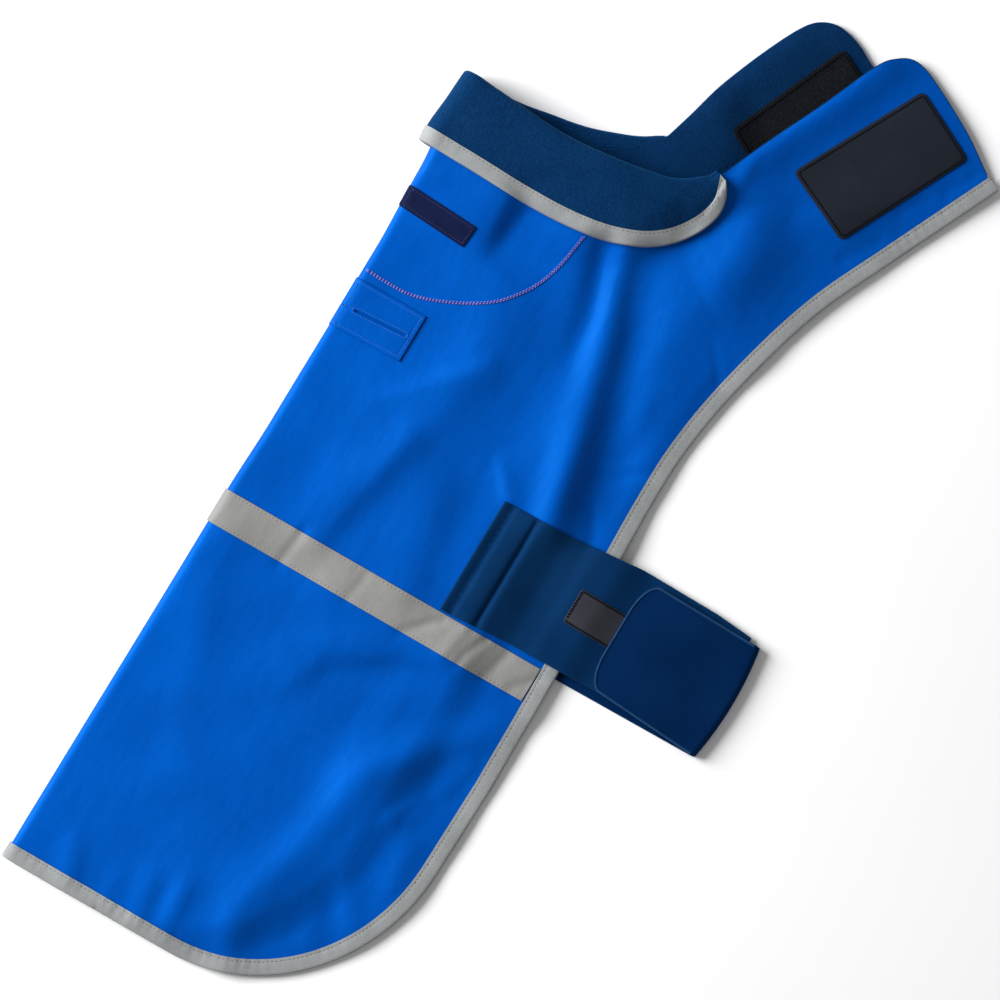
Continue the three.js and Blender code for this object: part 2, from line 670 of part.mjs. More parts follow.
// The collar stands up from the neck seam, rolls over and lies back on the outside of the coat
const sectionPath = (row, side, roll, flare) => {
  const seam = [side * row.seamU, row.seamV];
  const rolled = [side * row.rollU, row.rollV];
  const edge = [side * row.edgeU, row.edgeV];
  const stand = Math.hypot(rolled[0] - seam[0], rolled[1] - seam[1]);
  const fall = Math.hypot(edge[0] - rolled[0], edge[1] - rolled[1]);
  const radius = Math.min(roll, COLLAR / 2 + stand * 0.12);
  const out = [(rolled[0] - seam[0]) / stand, (rolled[1] - seam[1]) / stand];
  const back = [(edge[0] - rolled[0]) / fall, (edge[1] - rolled[1]) / fall];
  const turned = radius + COLLAR / 2;
  const centre = [rolled[0] - out[0] * turned, rolled[1] - out[1] * turned];
  const rest = FALL_CLEAR + TRIM + GAP + COLLAR / 2;
  const path = [];
  const start = SEAM / (stand - turned);
  for (const t of [start, (start + 1) / 2]) {
    path.push({ at: [0, 1].map((k) => lerp(seam[k], centre[k], t)), h: -COLLAR / 2, tilt: -Math.PI / 2 });
  }
  for (const turn of [-90, -45, 0, 45, 90]) {
    const angle = (turn * Math.PI) / 180;
    path.push({
      at: [0, 1].map((k) => centre[k] + out[k] * radius * Math.cos(angle)),
      h: -COLLAR / 2 + radius + radius * Math.sin(angle),
      tilt: angle,
      out,
    });
  }
  const top = -COLLAR / 2 + 2 * radius;
  const bound = fall - row.bound;
  for (const t of [0.3, 0.6, 1]) {
    const reach = lerp(turned, bound, t);
    const h = lerp(top, rest, rampUp(t, 0, 0.9)) + flare * t;
    path.push({ at: [0, 1].map((k) => rolled[k] + back[k] * reach), h, tilt: Math.PI / 2 });
  }
  const last = fall - TRIM - GAP;
  path.push({ at: [0, 1].map((k) => rolled[k] + back[k] * last), h: rest + flare, tilt: Math.PI / 2 });
  return { path };
};

const faceAt = (point, offset) => {
  const sideways = point.out ? offset * Math.cos(point.tilt) : 0;
  const [a, v] = point.at.map((value, k) => value + (point.out ? point.out[k] * sideways : 0));
  return coat.place(a, v, point.h + offset * Math.sin(point.tilt));
};

const foldSections = foldColumns.map((a) => {
  const near = (a + FOLD_RADIUS) / (2 * FOLD_RADIUS);
  const turn = (a / FOLD_RADIUS) * (Math.PI / 2);
  const row = { seamU: a, rollU: a, edgeU: a, bound: BINDING - 0.2, ...COLLAR_FOLD };
  return sectionPath(row, 1, lerp(ROLL_FAR, ROLL_NEAR, near), COLLAR_FOLD.flare * Math.cos(turn));
});
const collarSections = [
  ...[...COLLAR_FAR].reverse().map((row) => sectionPath(row, -1, ROLL_FAR, 0)),
  ...foldSections,
  ...COLLAR_NEAR.map((row) => sectionPath(row, 1, ROLL_NEAR, 0)),
];

const collarGeometry = () => ribbon(collarSections.map(({ path }) => ({
  outer: path.map((point) => faceAt(point, COLLAR / 2)),
  inner: path.map((point) => faceAt(point, -COLLAR / 2)),
})));

// Its binding is made from the collar's own last two points, moved out
const collarBindingGeometry = () => ribbon(collarSections.map(({ path }) => {
  const [start, end] = path.slice(-2).map((point) => {
    const face = (offset) => new THREE.Vector3(...faceAt(point, offset));
    const [high, low] = [face(COLLAR / 2), face(-COLLAR / 2)];
    return { high, low, out: high.clone().sub(low).normalize() };
  });
  const onward = (face) => end[face].clone().sub(start[face]).normalize();
  const leaf = (wrap, gap) => [
    start.high.clone().addScaledVector(onward("high"), GAP).addScaledVector(start.out, gap),
    end.high.clone().addScaledVector(onward("high"), wrap).addScaledVector(end.out, gap),
    end.low.clone().addScaledVector(onward("low"), wrap).addScaledVector(end.out, -gap),
    start.low.clone().addScaledVector(onward("low"), GAP).addScaledVector(start.out, -gap),
  ].map((point) => point.toArray());
  return { outer: leaf(GAP + TRIM, GAP + TRIM), inner: leaf(GAP, GAP) };
}), true);

// The near strap lies on the shell, steps over the binding and comes down on the far strap
const nearStrapPlace = (a, v, h) => {
  const [u, , z] = coatPlace(a, v, 0);
  const step = rampUp(a, STRAP_OVER_BINDING.from, STRAP_OVER_BINDING.to);
  const onShell = z + STRAP_CLEAR + (TRIM + BINDING_GAP) * step;
  const landed = rampUp(a, STRAP_LANDING.from, STRAP_LANDING.to);
  return [u, v, lerp(onShell, STRAP_LANDING.height, landed) + h];
};
const nearStrapColumns = [
  ...coatColumns.filter((a) => a > 140 && a < 271),
  276, 281, 286, 300, 325, 350, 372,
];
const nearStrap = new Sheet(nearStrapColumns, coatRows, nearStrapPlace);

// The far strap is drawn flat: s runs along it from its sewn end, round the bend to its tip
const bendLength = Math.PI * TOP_LEAF.bendRadius;
const bendStart = FAR_STRAP.bend - FAR_STRAP.start;
const bendEnd = bendStart + bendLength;
const strapLength = bendEnd + FAR_STRAP.bend - FAR_STRAP.end;
const farStrapPlace = (s, v, h) => {
  const bulge = FAR_STRAP.bulge * (1 - ((v - FAR_STRAP.middle) / FAR_STRAP.half) ** 2);
  const middle = STRAP / 2;
  const shift = bulge * rampUp(s, bendStart - FAR_STRAP.bulgeReach, bendStart)
    * rampDown(s, bendEnd, bendEnd + FAR_STRAP.bulgeReach);
  if (s <= bendStart) return [FAR_STRAP.start + s + shift, v, middle - h];
  if (s < bendEnd) {
    const turn = (s - bendStart) / TOP_LEAF.bendRadius;
    const radius = TOP_LEAF.bendRadius + h;
    return [
      FAR_STRAP.bend + shift + radius * Math.sin(turn),
      v,
      middle + TOP_LEAF.bendRadius - radius * Math.cos(turn),
    ];
  }
  const u = FAR_STRAP.bend - (s - bendEnd) + shift;
  const atBend = middle + 2 * TOP_LEAF.bendRadius;
  const puffed = clamp((u - TOP_LEAF_PUFF.from) / TOP_LEAF_PUFF.length, 0, 1);
  const puff = TOP_LEAF_PUFF.height * Math.sin(Math.PI * puffed) ** 2;
  const rise = (TOP_LEAF.patchClear - TOP_LEAF.low) * rampDown(u, TOP_LEAF.patchEnd, TOP_LEAF.flat);
  const bent = rampUp(u, TOP_LEAF.toBend, FAR_STRAP.bend);
  const top = lerp(TOP_LEAF.low + middle + rise + puff, atBend, bent);
  return [u, v, top + h];
};
const farStrapColumns = [
  ...evenly(-FAR_STRAP.edge, bendStart, 14),
  ...evenly(bendStart, bendEnd, 6),
  ...evenly(bendEnd, strapLength + FAR_STRAP.edge, 6),
  strapLength + FAR_STRAP.edge,
];
const farStrapRows = [...evenly(290, 410, 8), 410];
const farStrap = new Sheet(farStrapColumns, farStrapRows, farStrapPlace);

const farStrapGeometry = () => {
  const { low, high, across, along, parts } = FAR_STRAP_TIP;
  const corner = (v, from, to) => {
    const curve = new THREE.EllipseCurve(strapLength - across, v, across, along, from, to, false);
    return curve.getPoints(parts).map((p) => [p.x, p.y]);
  };
  const { start, bendStart: bendIn, bendEnd: bendOut } = FAR_STRAP_SIDES;
  const outline = [
    [0, start[0]], [bendStart, bendIn[0]], [bendEnd, bendOut[0]],
    ...corner(low + along, -Math.PI / 2, 0),
    ...corner(high - along, 0, Math.PI / 2),
    [bendEnd, bendOut[1]], [bendStart, bendIn[1]], [0, start[1]],
  ];
  return farStrap.solid([{ outline, spans: [[-STRAP / 2, STRAP / 2]] }]);
};

const strapPatchOutline = () => {
  const { low, high, from, to, round } = STRAP_PATCH;
  return rounded([[from, low], [to, low], [to, high], [from, high]], round, 1);
};

const FABRIC = { roughness: 0.85, metalness: 0 };
const COLOURS = {
  nylon: new THREE.Color(0x0b57c4),
  fleece: new THREE.Color(0x14325c),
  binding: new THREE.Color(0x8d8b88),
  tape: new THREE.Color(0x9a9894),
  closure: new THREE.Color(0x1c212c),
  label: new THREE.Color(0x161c50),
};

// Node name, colour and shape of each piece
const PIECES = [
  ["shell", COLOURS.nylon, shellGeometry],
  ["lining", COLOURS.fleece, liningGeometry],
  ["edge_binding", COLOURS.binding, bindingGeometry],
  ["reflective_tape", COLOURS.tape, tapeGeometry],
  ["collar", COLOURS.fleece, collarGeometry],
  ["collar_binding", COLOURS.binding, collarBindingGeometry],
  ["label", COLOURS.label, () => patchOn(coat, LABEL, GAP, TRIM)],
  ["leash_patch", COLOURS.nylon, leashPatchGeometry],
  ["flap_loop_patch", COLOURS.closure,
    () => patchOn(coat, rounded(LOOP_PATCH.corners, LOOP_PATCH.round), GAP, PATCH)],
  ["flap_hook_patch", COLOURS.closure,
    () => patchOn(coat, mirrored(rounded(HOOK_PATCH.corners, HOOK_PATCH.round)),
      LINING_SPAN[0] - GAP - PATCH, PATCH)],
  ["strap_near", COLOURS.fleece, () => patchOn(nearStrap, NEAR_STRAP, 0, STRAP)],
  ["strap_loop_patch", COLOURS.closure,
    () => patchOn(nearStrap, strapPatchOutline(), STRAP + GAP, TRIM)],
  ["strap_far", COLOURS.fleece, farStrapGeometry],
];

const dogCoat = new THREE.Group();
dogCoat.name = "dog_winter_coat";
for (const [name, color, shape] of PIECES) {
  const piece = new THREE.Mesh(shape(), new THREE.MeshStandardMaterial({ color, ...FABRIC }));
  piece.name = name;
  dogCoat.add(piece);
}
dogCoat.position.set(-U_MID, -V_MID, 0);

export default dogCoat;
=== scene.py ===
"""Looks of the dog winter coat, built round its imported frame.

The coat lies on its side, folded along the back. As in the part's source, the cloth is drawn
unfolded on a flat sheet, in millimetres: a is u on the near half, on top, and minus u on the far
half, v runs from the tail hem to the neck, and h is how far a face stands out from the outer face
of the shell. Each piece is cut out on that sheet with a fine grid and then placed in space.
"""
import math

import bpy
import numpy as np
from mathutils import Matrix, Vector
from mathutils.geometry import delaunay_2d_cdt


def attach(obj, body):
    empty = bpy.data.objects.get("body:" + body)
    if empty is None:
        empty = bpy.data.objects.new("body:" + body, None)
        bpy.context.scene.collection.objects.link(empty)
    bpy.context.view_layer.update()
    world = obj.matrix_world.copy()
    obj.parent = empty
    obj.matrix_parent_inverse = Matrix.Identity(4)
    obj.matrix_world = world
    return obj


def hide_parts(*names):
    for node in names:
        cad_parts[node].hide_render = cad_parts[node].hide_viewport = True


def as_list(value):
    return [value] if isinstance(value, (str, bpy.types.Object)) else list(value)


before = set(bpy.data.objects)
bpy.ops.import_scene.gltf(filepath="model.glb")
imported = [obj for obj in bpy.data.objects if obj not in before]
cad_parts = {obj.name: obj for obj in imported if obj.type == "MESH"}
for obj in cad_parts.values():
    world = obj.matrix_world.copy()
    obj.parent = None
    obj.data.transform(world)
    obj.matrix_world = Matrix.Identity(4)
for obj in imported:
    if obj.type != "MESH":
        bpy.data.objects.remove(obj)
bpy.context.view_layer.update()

MM = 0.001
SEED = 11

# Walls, gaps and sizes, as in the part's source
SHELL = 1.4
LINING = 1.6
TRIM = 1.0
PATCH = 1.2
COLLAR = 2.0
STRAP = 2.6
GAP = 0.3
BINDING = 11.7
BINDING_GAP = 0.6
RIM = 0.8
LINING_INSET = 13.8
LINING_LOW = {"v": 577, "near": 262, "far": 205}
FOLD_RADIUS = 6.0
BODY_HEIGHT = 7.0
LINED_BODY = 1.7
EDGE_HEIGHT = 3.5
LINED_EDGE = 1.2
HEM_LIFT = 1.8
TAPE_LIFT = 1.5
COLLAR_LIFT = 6.0
STRAP_LIFT = STRAP + GAP
# Where the near half comes down beyond the far half's edge, and to where it does higher up
STEP_FROM = -8
STEP_TO = 20
STEP_TO_HIGH = 48
# Between these u or v a height comes in, or goes out again
STEP_GROWS = (430, 520)
LINED_EDGE_IN = (540, 575)
LINED_BODY_IN = (540, 600)
STRAP_U_IN = (62, 106)
STRAP_IN = (256, 281)
STRAP_OUT = (398, 450)
TAPE_IN = (232, 257)
TAPE_OUT = (305, 330)
# From the far half's hem, from the folded part of its collar, from the near collar's edge and its end
HEM_OUT = (28, 56)
COLLAR_OUT = (0, 34)
COVER_IN = (-3, 8)
COVER_OUT = (186, 200)
COVERED_LEFT = 0.1
LOWEST = 2.3
SOFT_STOP = 0.25
MAP_PITCH = 2.0
MAP_LOW = (-10.0, -18.0)
MAP_HIGH = (404.0, 828.0)
CREASE_STEP = 9
CREASE_REACH = 2.6
U_MID = 185.66
V_MID = 402.76
FLOOR_CLEAR = 0.03
# From these u on, the fold's stray has died out, and the far creases are whole
STRAY_OUT = 70
FAR_CREASES_IN = 30
# A panel's mesh: finer steps across the fold, rows inside a rounded edge and how far it drops as
# shares of its rounding and its wall, and how clear of edges and lines the grid stays, in steps
FOLD_PITCH = 1.2
SHORTEST = 0.05
EDGE_ROWS = (0.3, 0.75, 1.3)
EDGE_DROP = 0.46
EDGE_CLEAR = 0.45
LINE_CLEAR = 0.35

NEAR_BELLY = [
    (356, 757), (320, 680), (292.9, 620), (275.4, 560), (264.3, 500), (262, 440), (266.5, 305), (268, 215),
]
FAR_BELLY = [
    (209, 150), (211, 225), (209.5, 305), (205.5, 420), (206, 500), (226, 590), (266, 678), (302, 758),
]
NEAR_CORNER = {"u": 130, "v": 150, "across": 136.5, "along": 148}
FAR_CORNER = {"u": 73, "v": 150, "across": 136, "along": 148}
NEAR_FLAP = [
    (346, 760.5), (320, 778), (300, 789), (283, 797.5), (270, 803), (259, 804.7), (249, 800),
    (238, 786.7), (220, 745), (200, 702), (186, 669),
]
FAR_FLAP = [
    (270, 772), (236, 786), (220, 794), (203, 798), (190, 794.5), (180, 784), (166.7, 757), (153, 722),
    (145, 692), (139, 671),
]

# Neck seam of the near half: u, v, how far it gapes open, and how far in that reaches
NECK_NEAR = [
    (0, 621, 8, 105), (40, 617, 8.5, 105), (80, 616, 8.5, 100), (115, 620, 8.5, 95), (145, 628, 8, 88),
    (168, 643, 7, 78), (184, 666, 6, 62), (200, 702, 5.5, 50), (220, 745, 4.5, 42), (238, 786.7, 3, 36),
]
# Neck seam of the far half: u, v, how far in the collar lies folded under it
NECK_FAR = [
    (0, 620.5, 52), (40, 620.5, 52), (80, 627, 52), (106, 640, 50), (126, 657, 46), (137, 668, 38),
]
# The fold along the back: v, how far it strays from a straight line
BACK_LINE = [(0, 0), (300, 1.6), (360, 3), (500, 3.4), (560, 1.4), (600, -1.5), (660, -1.5), (830, -1.5)]

# Creases of the near half. Each is its half width on the left and on the right, then the points
# (u, v, height) of its line, drawn toward the neck or the belly. The largest come first: the
# part's solids have them too
FOLDS = [
    (15, 15, (157, 585, 2.6), (214, 398, 2.4)),
    (11, 11, (141, 585, -1.6), (166, 495, -0.6)),
    (15, 15, (184, 560, -1.8), (236, 408, -0.8)),
    (12, 12, (73, 588, -1.6), (72, 532, -0.4)),
    (17, 17, (62, 425, 0.9), (108, 468, 0.9)),
    (17, 17, (54, 402, 1.2), (70, 308, 0.8)),
    (18, 18, (112, 400, -1.0), (150, 452, -0.6)),
    (18, 18, (128, 365, 0.9), (132, 300, 0.4)),
    (13, 13, (112, 228, -1.2), (216, 281, -0.9)),
    (15, 15, (196, 205, 0.8), (250, 252, 0.8)),
    (11, 11, (228, 505, -0.8), (240, 400, -0.5)),
    (20, 20, (245, 655, -1.2), (205, 592, -1.0)),
]
CREASES = [
    # the long crest under the collar, and the valley beside it
    (14, 14, (208, 396, 4.6), (195, 440, 4.4), (186, 480, 3.2), (177, 518, 1.2), (167, 545, 0.2),
     (158, 575, 0.1), (152, 596, 0)),
    (12, 20, (222, 424, -1.4), (208, 470, -2.8), (198, 508, -3.4), (188, 540, -3.8), (177, 562, -4),
     (171, 584, -3.6)),
    (10, 8, (163, 490, 0), (160, 518, -1.8), (156, 540, -3.2), (149, 562, -4.2), (141, 582, -4.4),
     (136, 598, -3.6)),
    # the dip between label and collar
    (20, 8, (71, 528, 0), (67, 548, 2), (63, 575, 2.8), (61, 600, 2.6)),
    (9, 34, (75, 528, 0), (78, 548, -3.6), (82, 573, -5.2), (85, 600, -5.2)),
    (5, 9, (-2, 558, 1.1), (12, 562, 1.1), (26, 567, 0)),
    (28, 24, (44, 496, -0.8), (46, 522, -1.3), (40, 540, -0.4)),
    # ridges and dips of the middle
    (9, 20, (64, 408, 1), (78, 426, 3), (94, 442, 3.4), (110, 460, 2.8), (118, 478, 0.5)),
    (24, 30, (110, 430, 2.4), (106, 470, 3.5), (105, 510, 2.6), (109, 545, 0)),
    (14, 24, (92, 372, 1), (98, 400, 2.4), (104, 424, 1.8)),
    (28, 12, (72, 303, 2.4), (76, 330, 3.8), (84, 365, 4.2), (88, 392, 3.2), (84, 412, 1)),
    (6, 34, (8, 296, 2), (8, 340, 2.8), (10, 385, 2.4), (12, 415, 0.8)),
    (24, 14, (142, 305, 1.8), (138, 340, 2), (128, 372, 0.8)),
    (5, 8, (174, 396, 1.4), (162, 409, 1.4), (150, 423, 0)),
    # near the belly edge
    (30, 12, (246, 404, 1.8), (243, 440, 2.4), (242, 480, 2.6), (244, 520, 2.2), (252, 560, 1.4),
     (264, 592, 0.6)),
    (10, 9, (226, 482, 0.4), (223, 500, 1.3), (227, 520, 0.2)),
    (3, 3.5, (258, 540, -0.8), (250, 551, -0.8), (240, 564, -0.2)),
    (4, 4, (232, 449, -0.8), (240, 456, -0.9), (252, 464, -0.6)),
    (3.5, 5, (238, 400, -0.9), (230, 416, -0.8), (224, 428, -0.1)),
    # below the tape
    (20, 10, (104, 200, 0.6), (111, 217, 2.2), (117, 236, 3.2), (131, 245, 3.2), (148, 256, 3.4),
     (168, 267, 2.8), (196, 274, 1.8)),
    (14, 15, (172, 10, 2.4), (166, 30, 3.8), (160, 52, 3.8), (165, 70, 3.4), (173, 95, 3),
     (180, 125, 3), (185, 155, 3.4), (189, 182, 3.8), (204, 203, 3.8), (225, 227, 3.2),
     (250, 252, 1.8)),
    (5, 12, (219, 164, 1.8), (227, 180, 1)),
    (8, 8, (244, 122, 1.2), (241, 152, 1)),
    (8, 12, (232, 86, 1.7), (221, 98, 2), (212, 114, 0.9)),
    (8, 6, (241, 198, 1), (247, 222, 1)),
    (8, 8, (214, 58, 1.1), (208, 78, 0.7)),
    (14, 14, (74, 118, 0.5), (56, 152, 1.1), (42, 190, 1.3), (30, 230, 1.1), (20, 262, 0.5)),
    (6, 26, (8, 190, 1.2), (9, 225, 2), (10, 262, 1.8)),
    # waves of the hem
    (9, 8, (122, 12, 1), (121, 36, 2.2), (118, 62, 0.6)),
    (10, 7, (103, 12, 1.4), (99, 30, 1.7), (95, 52, 0.1)),
    (10, 8, (46, 12, 1.6), (41, 28, 1.5), (34, 48, 0.1)),
    (8, 8, (78, 10, 0.9), (76, 30, 0.7)),
    # wrinkles of the tape
    (3, 4, (59, 274, -0.9), (62, 304, -1.1)),
    (3, 4, (112, 276, -0.5), (116, 300, -0.7)),
    (3.5, 4, (156, 277, -0.9), (166, 288, -1.3), (178, 300, -1.2)),
    (3, 3, (202, 277, -0.8), (204, 290, -1.2), (211, 304, -1)),
    (6, 4, (190, 278, 0.9), (195, 304, 1.1)),
    (3, 4, (222, 279, -0.5), (229, 303, -0.8)),
    (3.5, 4, (243, 284, -0.9), (257, 300, -1.1)),
    # the chest flap: its raised edge, the bulge under the collar, and wrinkles by the binding
    (6, 16, (188, 655, 2.4), (196, 680, 3.6), (207, 708, 4), (224, 745, 3.6), (240, 785, 3.2),
     (248, 802, 1.6)),
    (22, 25, (212, 590, 3.4), (223, 612, 9.4), (227, 636, 10), (217, 662, 2.4)),
    (12, 12, (205, 668, 1.2), (250, 680, 1.4), (292, 694, 0.6)),
    (3.5, 3.5, (325, 738, -0.8), (336, 756, -0.7)),
    (4, 4, (305, 708, -0.7), (316, 726, -0.6)),
    (5, 5, (288, 660, -0.6), (302, 684, -0.6)),
]
# Creases of the hidden far half, which only lift it off the floor
FAR_CREASES = [
    (12, 15, (40, 60, 0.9), (52, 110, 1.2), (58, 170, 0.4)),
    (9, 12, (120, 40, 0.6), (138, 90, 1.2), (150, 130, 0.9)),
    (14, 18, (30, 330, 0.5), (38, 420, 1.4), (62, 520, 1.1)),
    (11, 15, (104, 420, 1), (132, 500, 1.4), (150, 560, 0.6)),
    (8, 10, (160, 440, 0.7), (176, 540, 1)),
    (12, 12, (90, 190, 0.7), (140, 206, 1.1), (170, 236, 0.6)),
    (8, 10, (196, 640, 0.4), (236, 700, 0.6)),
    (8, 24, (142, 668, 1.5), (157, 706, 3.6), (168, 740, 4), (181, 772, 3.6), (198, 790, 1.6)),
]

# The collar's rows: neck seam, roll line and loose edge (each u and v), and the width of its binding
COLLAR_FAR = [
    (20, 620, 20, 636.6, 19, 578, 11.5), (40, 620.5, 40, 638, 42, 580, 11.5),
    (60, 623, 60, 642, 64, 584, 11.5), (80, 627.5, 80, 646, 88, 590, 11.5),
    (97, 636, 98, 651, 111, 597.5, 11.5), (111, 645, 113, 657, 129, 608, 11.5),
    (122, 654, 124, 662.5, 143, 622.5, 11.5), (130, 662, 132, 667.5, 152, 640, 11),
    (135, 667.5, 137, 670.5, 151, 658, 8.5),
]
COLLAR_NEAR = [
    (16, 619.5, 16, 637, 15, 578.5, 11.5), (30, 618, 30, 636, 28.5, 578.5, 11.5),
    (45, 617, 45, 635, 44, 578.3, 11.5), (60, 616.5, 60, 634.2, 61, 578, 11.5),
    (76, 616.5, 76, 634.2, 79, 578.2, 11.5), (92, 617.5, 92, 635, 97, 578.8, 11.5),
    (108, 619.5, 107.5, 636.8, 116, 580.5, 11.5), (122, 622.5, 121, 639, 134, 583.6, 11.5),
    (135, 626, 133, 641, 150, 588.5, 11.5), (146, 630, 144, 643, 165, 595.5, 11.5),
    (155, 634.5, 153, 645.7, 178, 605.5, 11.5), (163, 640, 160.5, 649, 188, 617.5, 11.5),
    (169.5, 646, 167, 653, 195, 631, 11.2), (175, 652.5, 172.5, 657.5, 197.6, 644, 10.5),
    (179, 659, 177, 661.5, 194.5, 656, 9), (182.5, 665, 179.6, 666.8, 189.5, 663.5, 6.5),
]
# At the back fold: its lines' v, and how far the loose edge stands out
COLLAR_FOLD = {"seam": 620.5, "roll": 638, "edge": 578.6, "flare": 4.2}
ROLL_NEAR = 3.0
ROLL_FAR = 2.0
FALL_CLEAR = 1.1
SEAM = 0.5
COLLAR_SWELL = 0.11

TAPE = {"low": 275, "high": 301, "near_end": 254.3, "near_rise": 4.9, "far_end": 195, "far_rise": -2.2}
LABEL = [(1.6, 549), (57, 547), (55.4, 530.3), (1.2, 532.6)]
LEASH_PATCH = [(1.4, 474.6), (58.5, 475.7), (58.5, 439), (1.6, 436.4)]
LEASH_SLIT = {"from": (10.8, 453.8), "to": (52.3, 457), "width": 1.2, "hair": 0.02}
LOOP_PATCH = [(275, 790), (326.7, 765), (280, 670), (226, 694)]
HOOK_PATCH = [(212, 787), (262, 763), (221, 674), (174, 697)]
PATCH_ROUND = 5
LABEL_SEWING = [
    (4.0, 534.5, 4.3, 547, 0), (53.6, 532.6, 54.8, 545, 0),
    (3.6, 546.9, 55, 545.2, -0.2), (3.4, 534.6, 53.8, 532.4, -0.2),
]
# Relief, each place with its width: of the lining's rim, and, after a height, of the leash patch
RIM_RELIEF = {"roll": (2.2, 1.6), "sewing": (5.2, 1.1), "height": 0.5}
LEASH_RELIEF = {"slit": (0.45, 1.9, 1.2), "sewing": (0.35, 2.6, 0.9), "turned": (0.3, 0.9, 0.8)}
STITCHED_ARC = [
    (3.5, 482.3), (20, 482), (38, 483), (55, 487.6), (75, 496.6), (94, 509), (106, 522.5), (115, 538),
    (120.5, 556), (123.4, 574), (124.5, 582),
]
ARC_ROWS = 0.55
# A leaf of binding, from its sewn edge to the fold: shares of its width, and how it is drawn in
EDGE_LEAF = (1.0, 0.93, 0.85, 0.78, 0.5, 0.25, 0.1), (-0.2, -0.02, -0.28, -0.06, 0.08, 0.12, 0.05)
COLLAR_LEAF = (1.0, 0.93, 0.85, 0.78, 0.5, 0.2, 0.0), (-0.2, -0.02, -0.28, -0.06, 0.05, 0.08, 0.0)
EDGE_PUCKER = 0.14 / 2.4
COLLAR_PUCKER = 0.06
# Along a stitch: share of its length, its girth and its lift, both in radii
STITCH = [(0, 0.35, -0.5), (0.15, 0.95, 0.55), (0.5, 1.0, 0.8), (0.85, 0.95, 0.55), (1, 0.35, -0.5)]

NEAR_STRAP = [
    (172, 305.8), (182, 306.3), (220, 309.7), (260, 311), (300, 312.4), (369.5, 311),
    (369.5, 400.5), (340, 402.5), (280, 402.3), (260, 400), (220, 395.8), (172, 393.8),
]
STRAP_CLEAR = 0.4
STRAP_AT_BINDING = (236, 248)
STRAP_COMES_DOWN = (263, 290)
# Its tuck: a thin end, a raised fold, then a groove and a welt as height, place and width
TUCK = {
    "end_rise": 0.3, "end_drop": 2.2, "end": (172.5, 181), "end_out": (181, 182.6), "fold_rise": 1.3,
    "fold_from": 181.4, "fold_width": 15.6, "fold_power": 0.6, "groove": (-1.9, 199.2, 1.7),
    "welt": (0.35, 204, 3),
}
STRAP_WAVE = {"height": 0.35, "rates": (0.055, 0.03), "after": (205, 225), "inside": (3, 14)}
TUCK_LINES = (180.4, 181.6, 182.8, 185, 196, 197.5, 198.4, 199.2, 200, 201, 202.5)
STRAP_PATCH = {"low": 342.5, "high": 369, "from": 250, "to": 296}
FAR_STRAP = {
    "start": 115, "bend": 373.6, "bulge": 4, "middle": 353, "half": 45, "end": 285.8, "round": 25,
    "tip_low": 312.6, "tip_high": 398, "tip_deep": 12, "bulge_over": 60,
    "low_edge": (300.4, 308, 308.6), "high_edge": (391, 397.8, 397.6),
}
# Its top leaf, which drops beyond the closure square, puffs up and meets the bend
TOP_LEAF = {
    "radius": 3.2, "low": 5.8, "patch_clear": 7.4, "drops": (298, 330), "puff": 2.2, "puff_from": 290,
    "puff_width": 80, "meets": 345, "wave": 0.35, "wave_rates": (0.11, 0.05), "wave_from": (0.4, 280),
    "wave_out": (340, 370),
}

# Camera, floor and lights, in metres
PHOTO_ANGLE = math.radians(31.05)
RIGHT = Vector((math.cos(PHOTO_ANGLE), math.sin(PHOTO_ANGLE), 0))
UP = Vector((-math.sin(PHOTO_ANGLE), math.cos(PHOTO_ANGLE), 0))
VIEW_CENTRE = Vector((-0.0168, -0.0102, 0.0))
VIEW_WIDTH = 0.700
CAMERA_HEIGHT = 3.6
SENSOR = 36
FLOOR_HALF = 4.0
KEY = {"towards": -RIGHT + UP * 0.45 + Vector((0, 0, 0.66)), "distance": 2.8, "size": 1.9, "power": 165}
WORLD_STRENGTH = 0.31


def ramp(x, low, high):
    t = np.clip((np.asarray(x, float) - low) / (high - low), 0, 1)
    return t * t * (3 - 2 * t)


def ramp_down(x, low, high):
    return 1 - ramp(x, low, high)


def floats(*values):
    return (np.asarray(value, float) for value in values)


def lerp(p, q, t):
    return p + (q - p) * t


def bell(x, middle, width):
    return np.exp(-((x - middle) / width)**2)


def swell(x, height, middle, width):
    return height * bell(x, middle, width)


def hermite(p, q, p_slope, q_slope, t):
    """From p to q on a smooth curve with these slopes at its ends."""
    return ((2 * t**3 - 3 * t**2 + 1) * p + (t**3 - 2 * t**2 + t) * p_slope
            + (3 * t**2 - 2 * t**3) * q + (t**3 - t**2) * q_slope)


def unit(vectors):
    return vectors / np.linalg.norm(vectors, axis=-1, keepdims=True)


def lengths(line):
    """How far along a line each of its points is."""
    return np.r_[0, np.cumsum(np.linalg.norm(np.diff(line, axis=0), axis=1))]


# Lines on the flat sheet

def mirrored(points):
    return [(-p[0], *p[1:]) for p in points]


def joined(outline):
    return np.vstack([outline, outline[:1]])


def signed_area(outline):
    a, v = np.asarray(outline, float).T
    return (a * np.roll(v, -1) - v * np.roll(a, -1)).sum() / 2


def left_turning(outline):
    """The outline with its inside on its left."""
    outline = np.asarray(outline, float)
    return outline[::-1] if signed_area(outline) < 0 else outline


def spaced(line, step):
    """The same line with points an even step apart."""
    line = np.asarray(line, float)
    along = lengths(line[:, :2])
    places = np.linspace(0, along[-1], max(2, round(along[-1] / step) + 1))
    return np.column_stack([np.interp(places, along, column) for column in line.T])


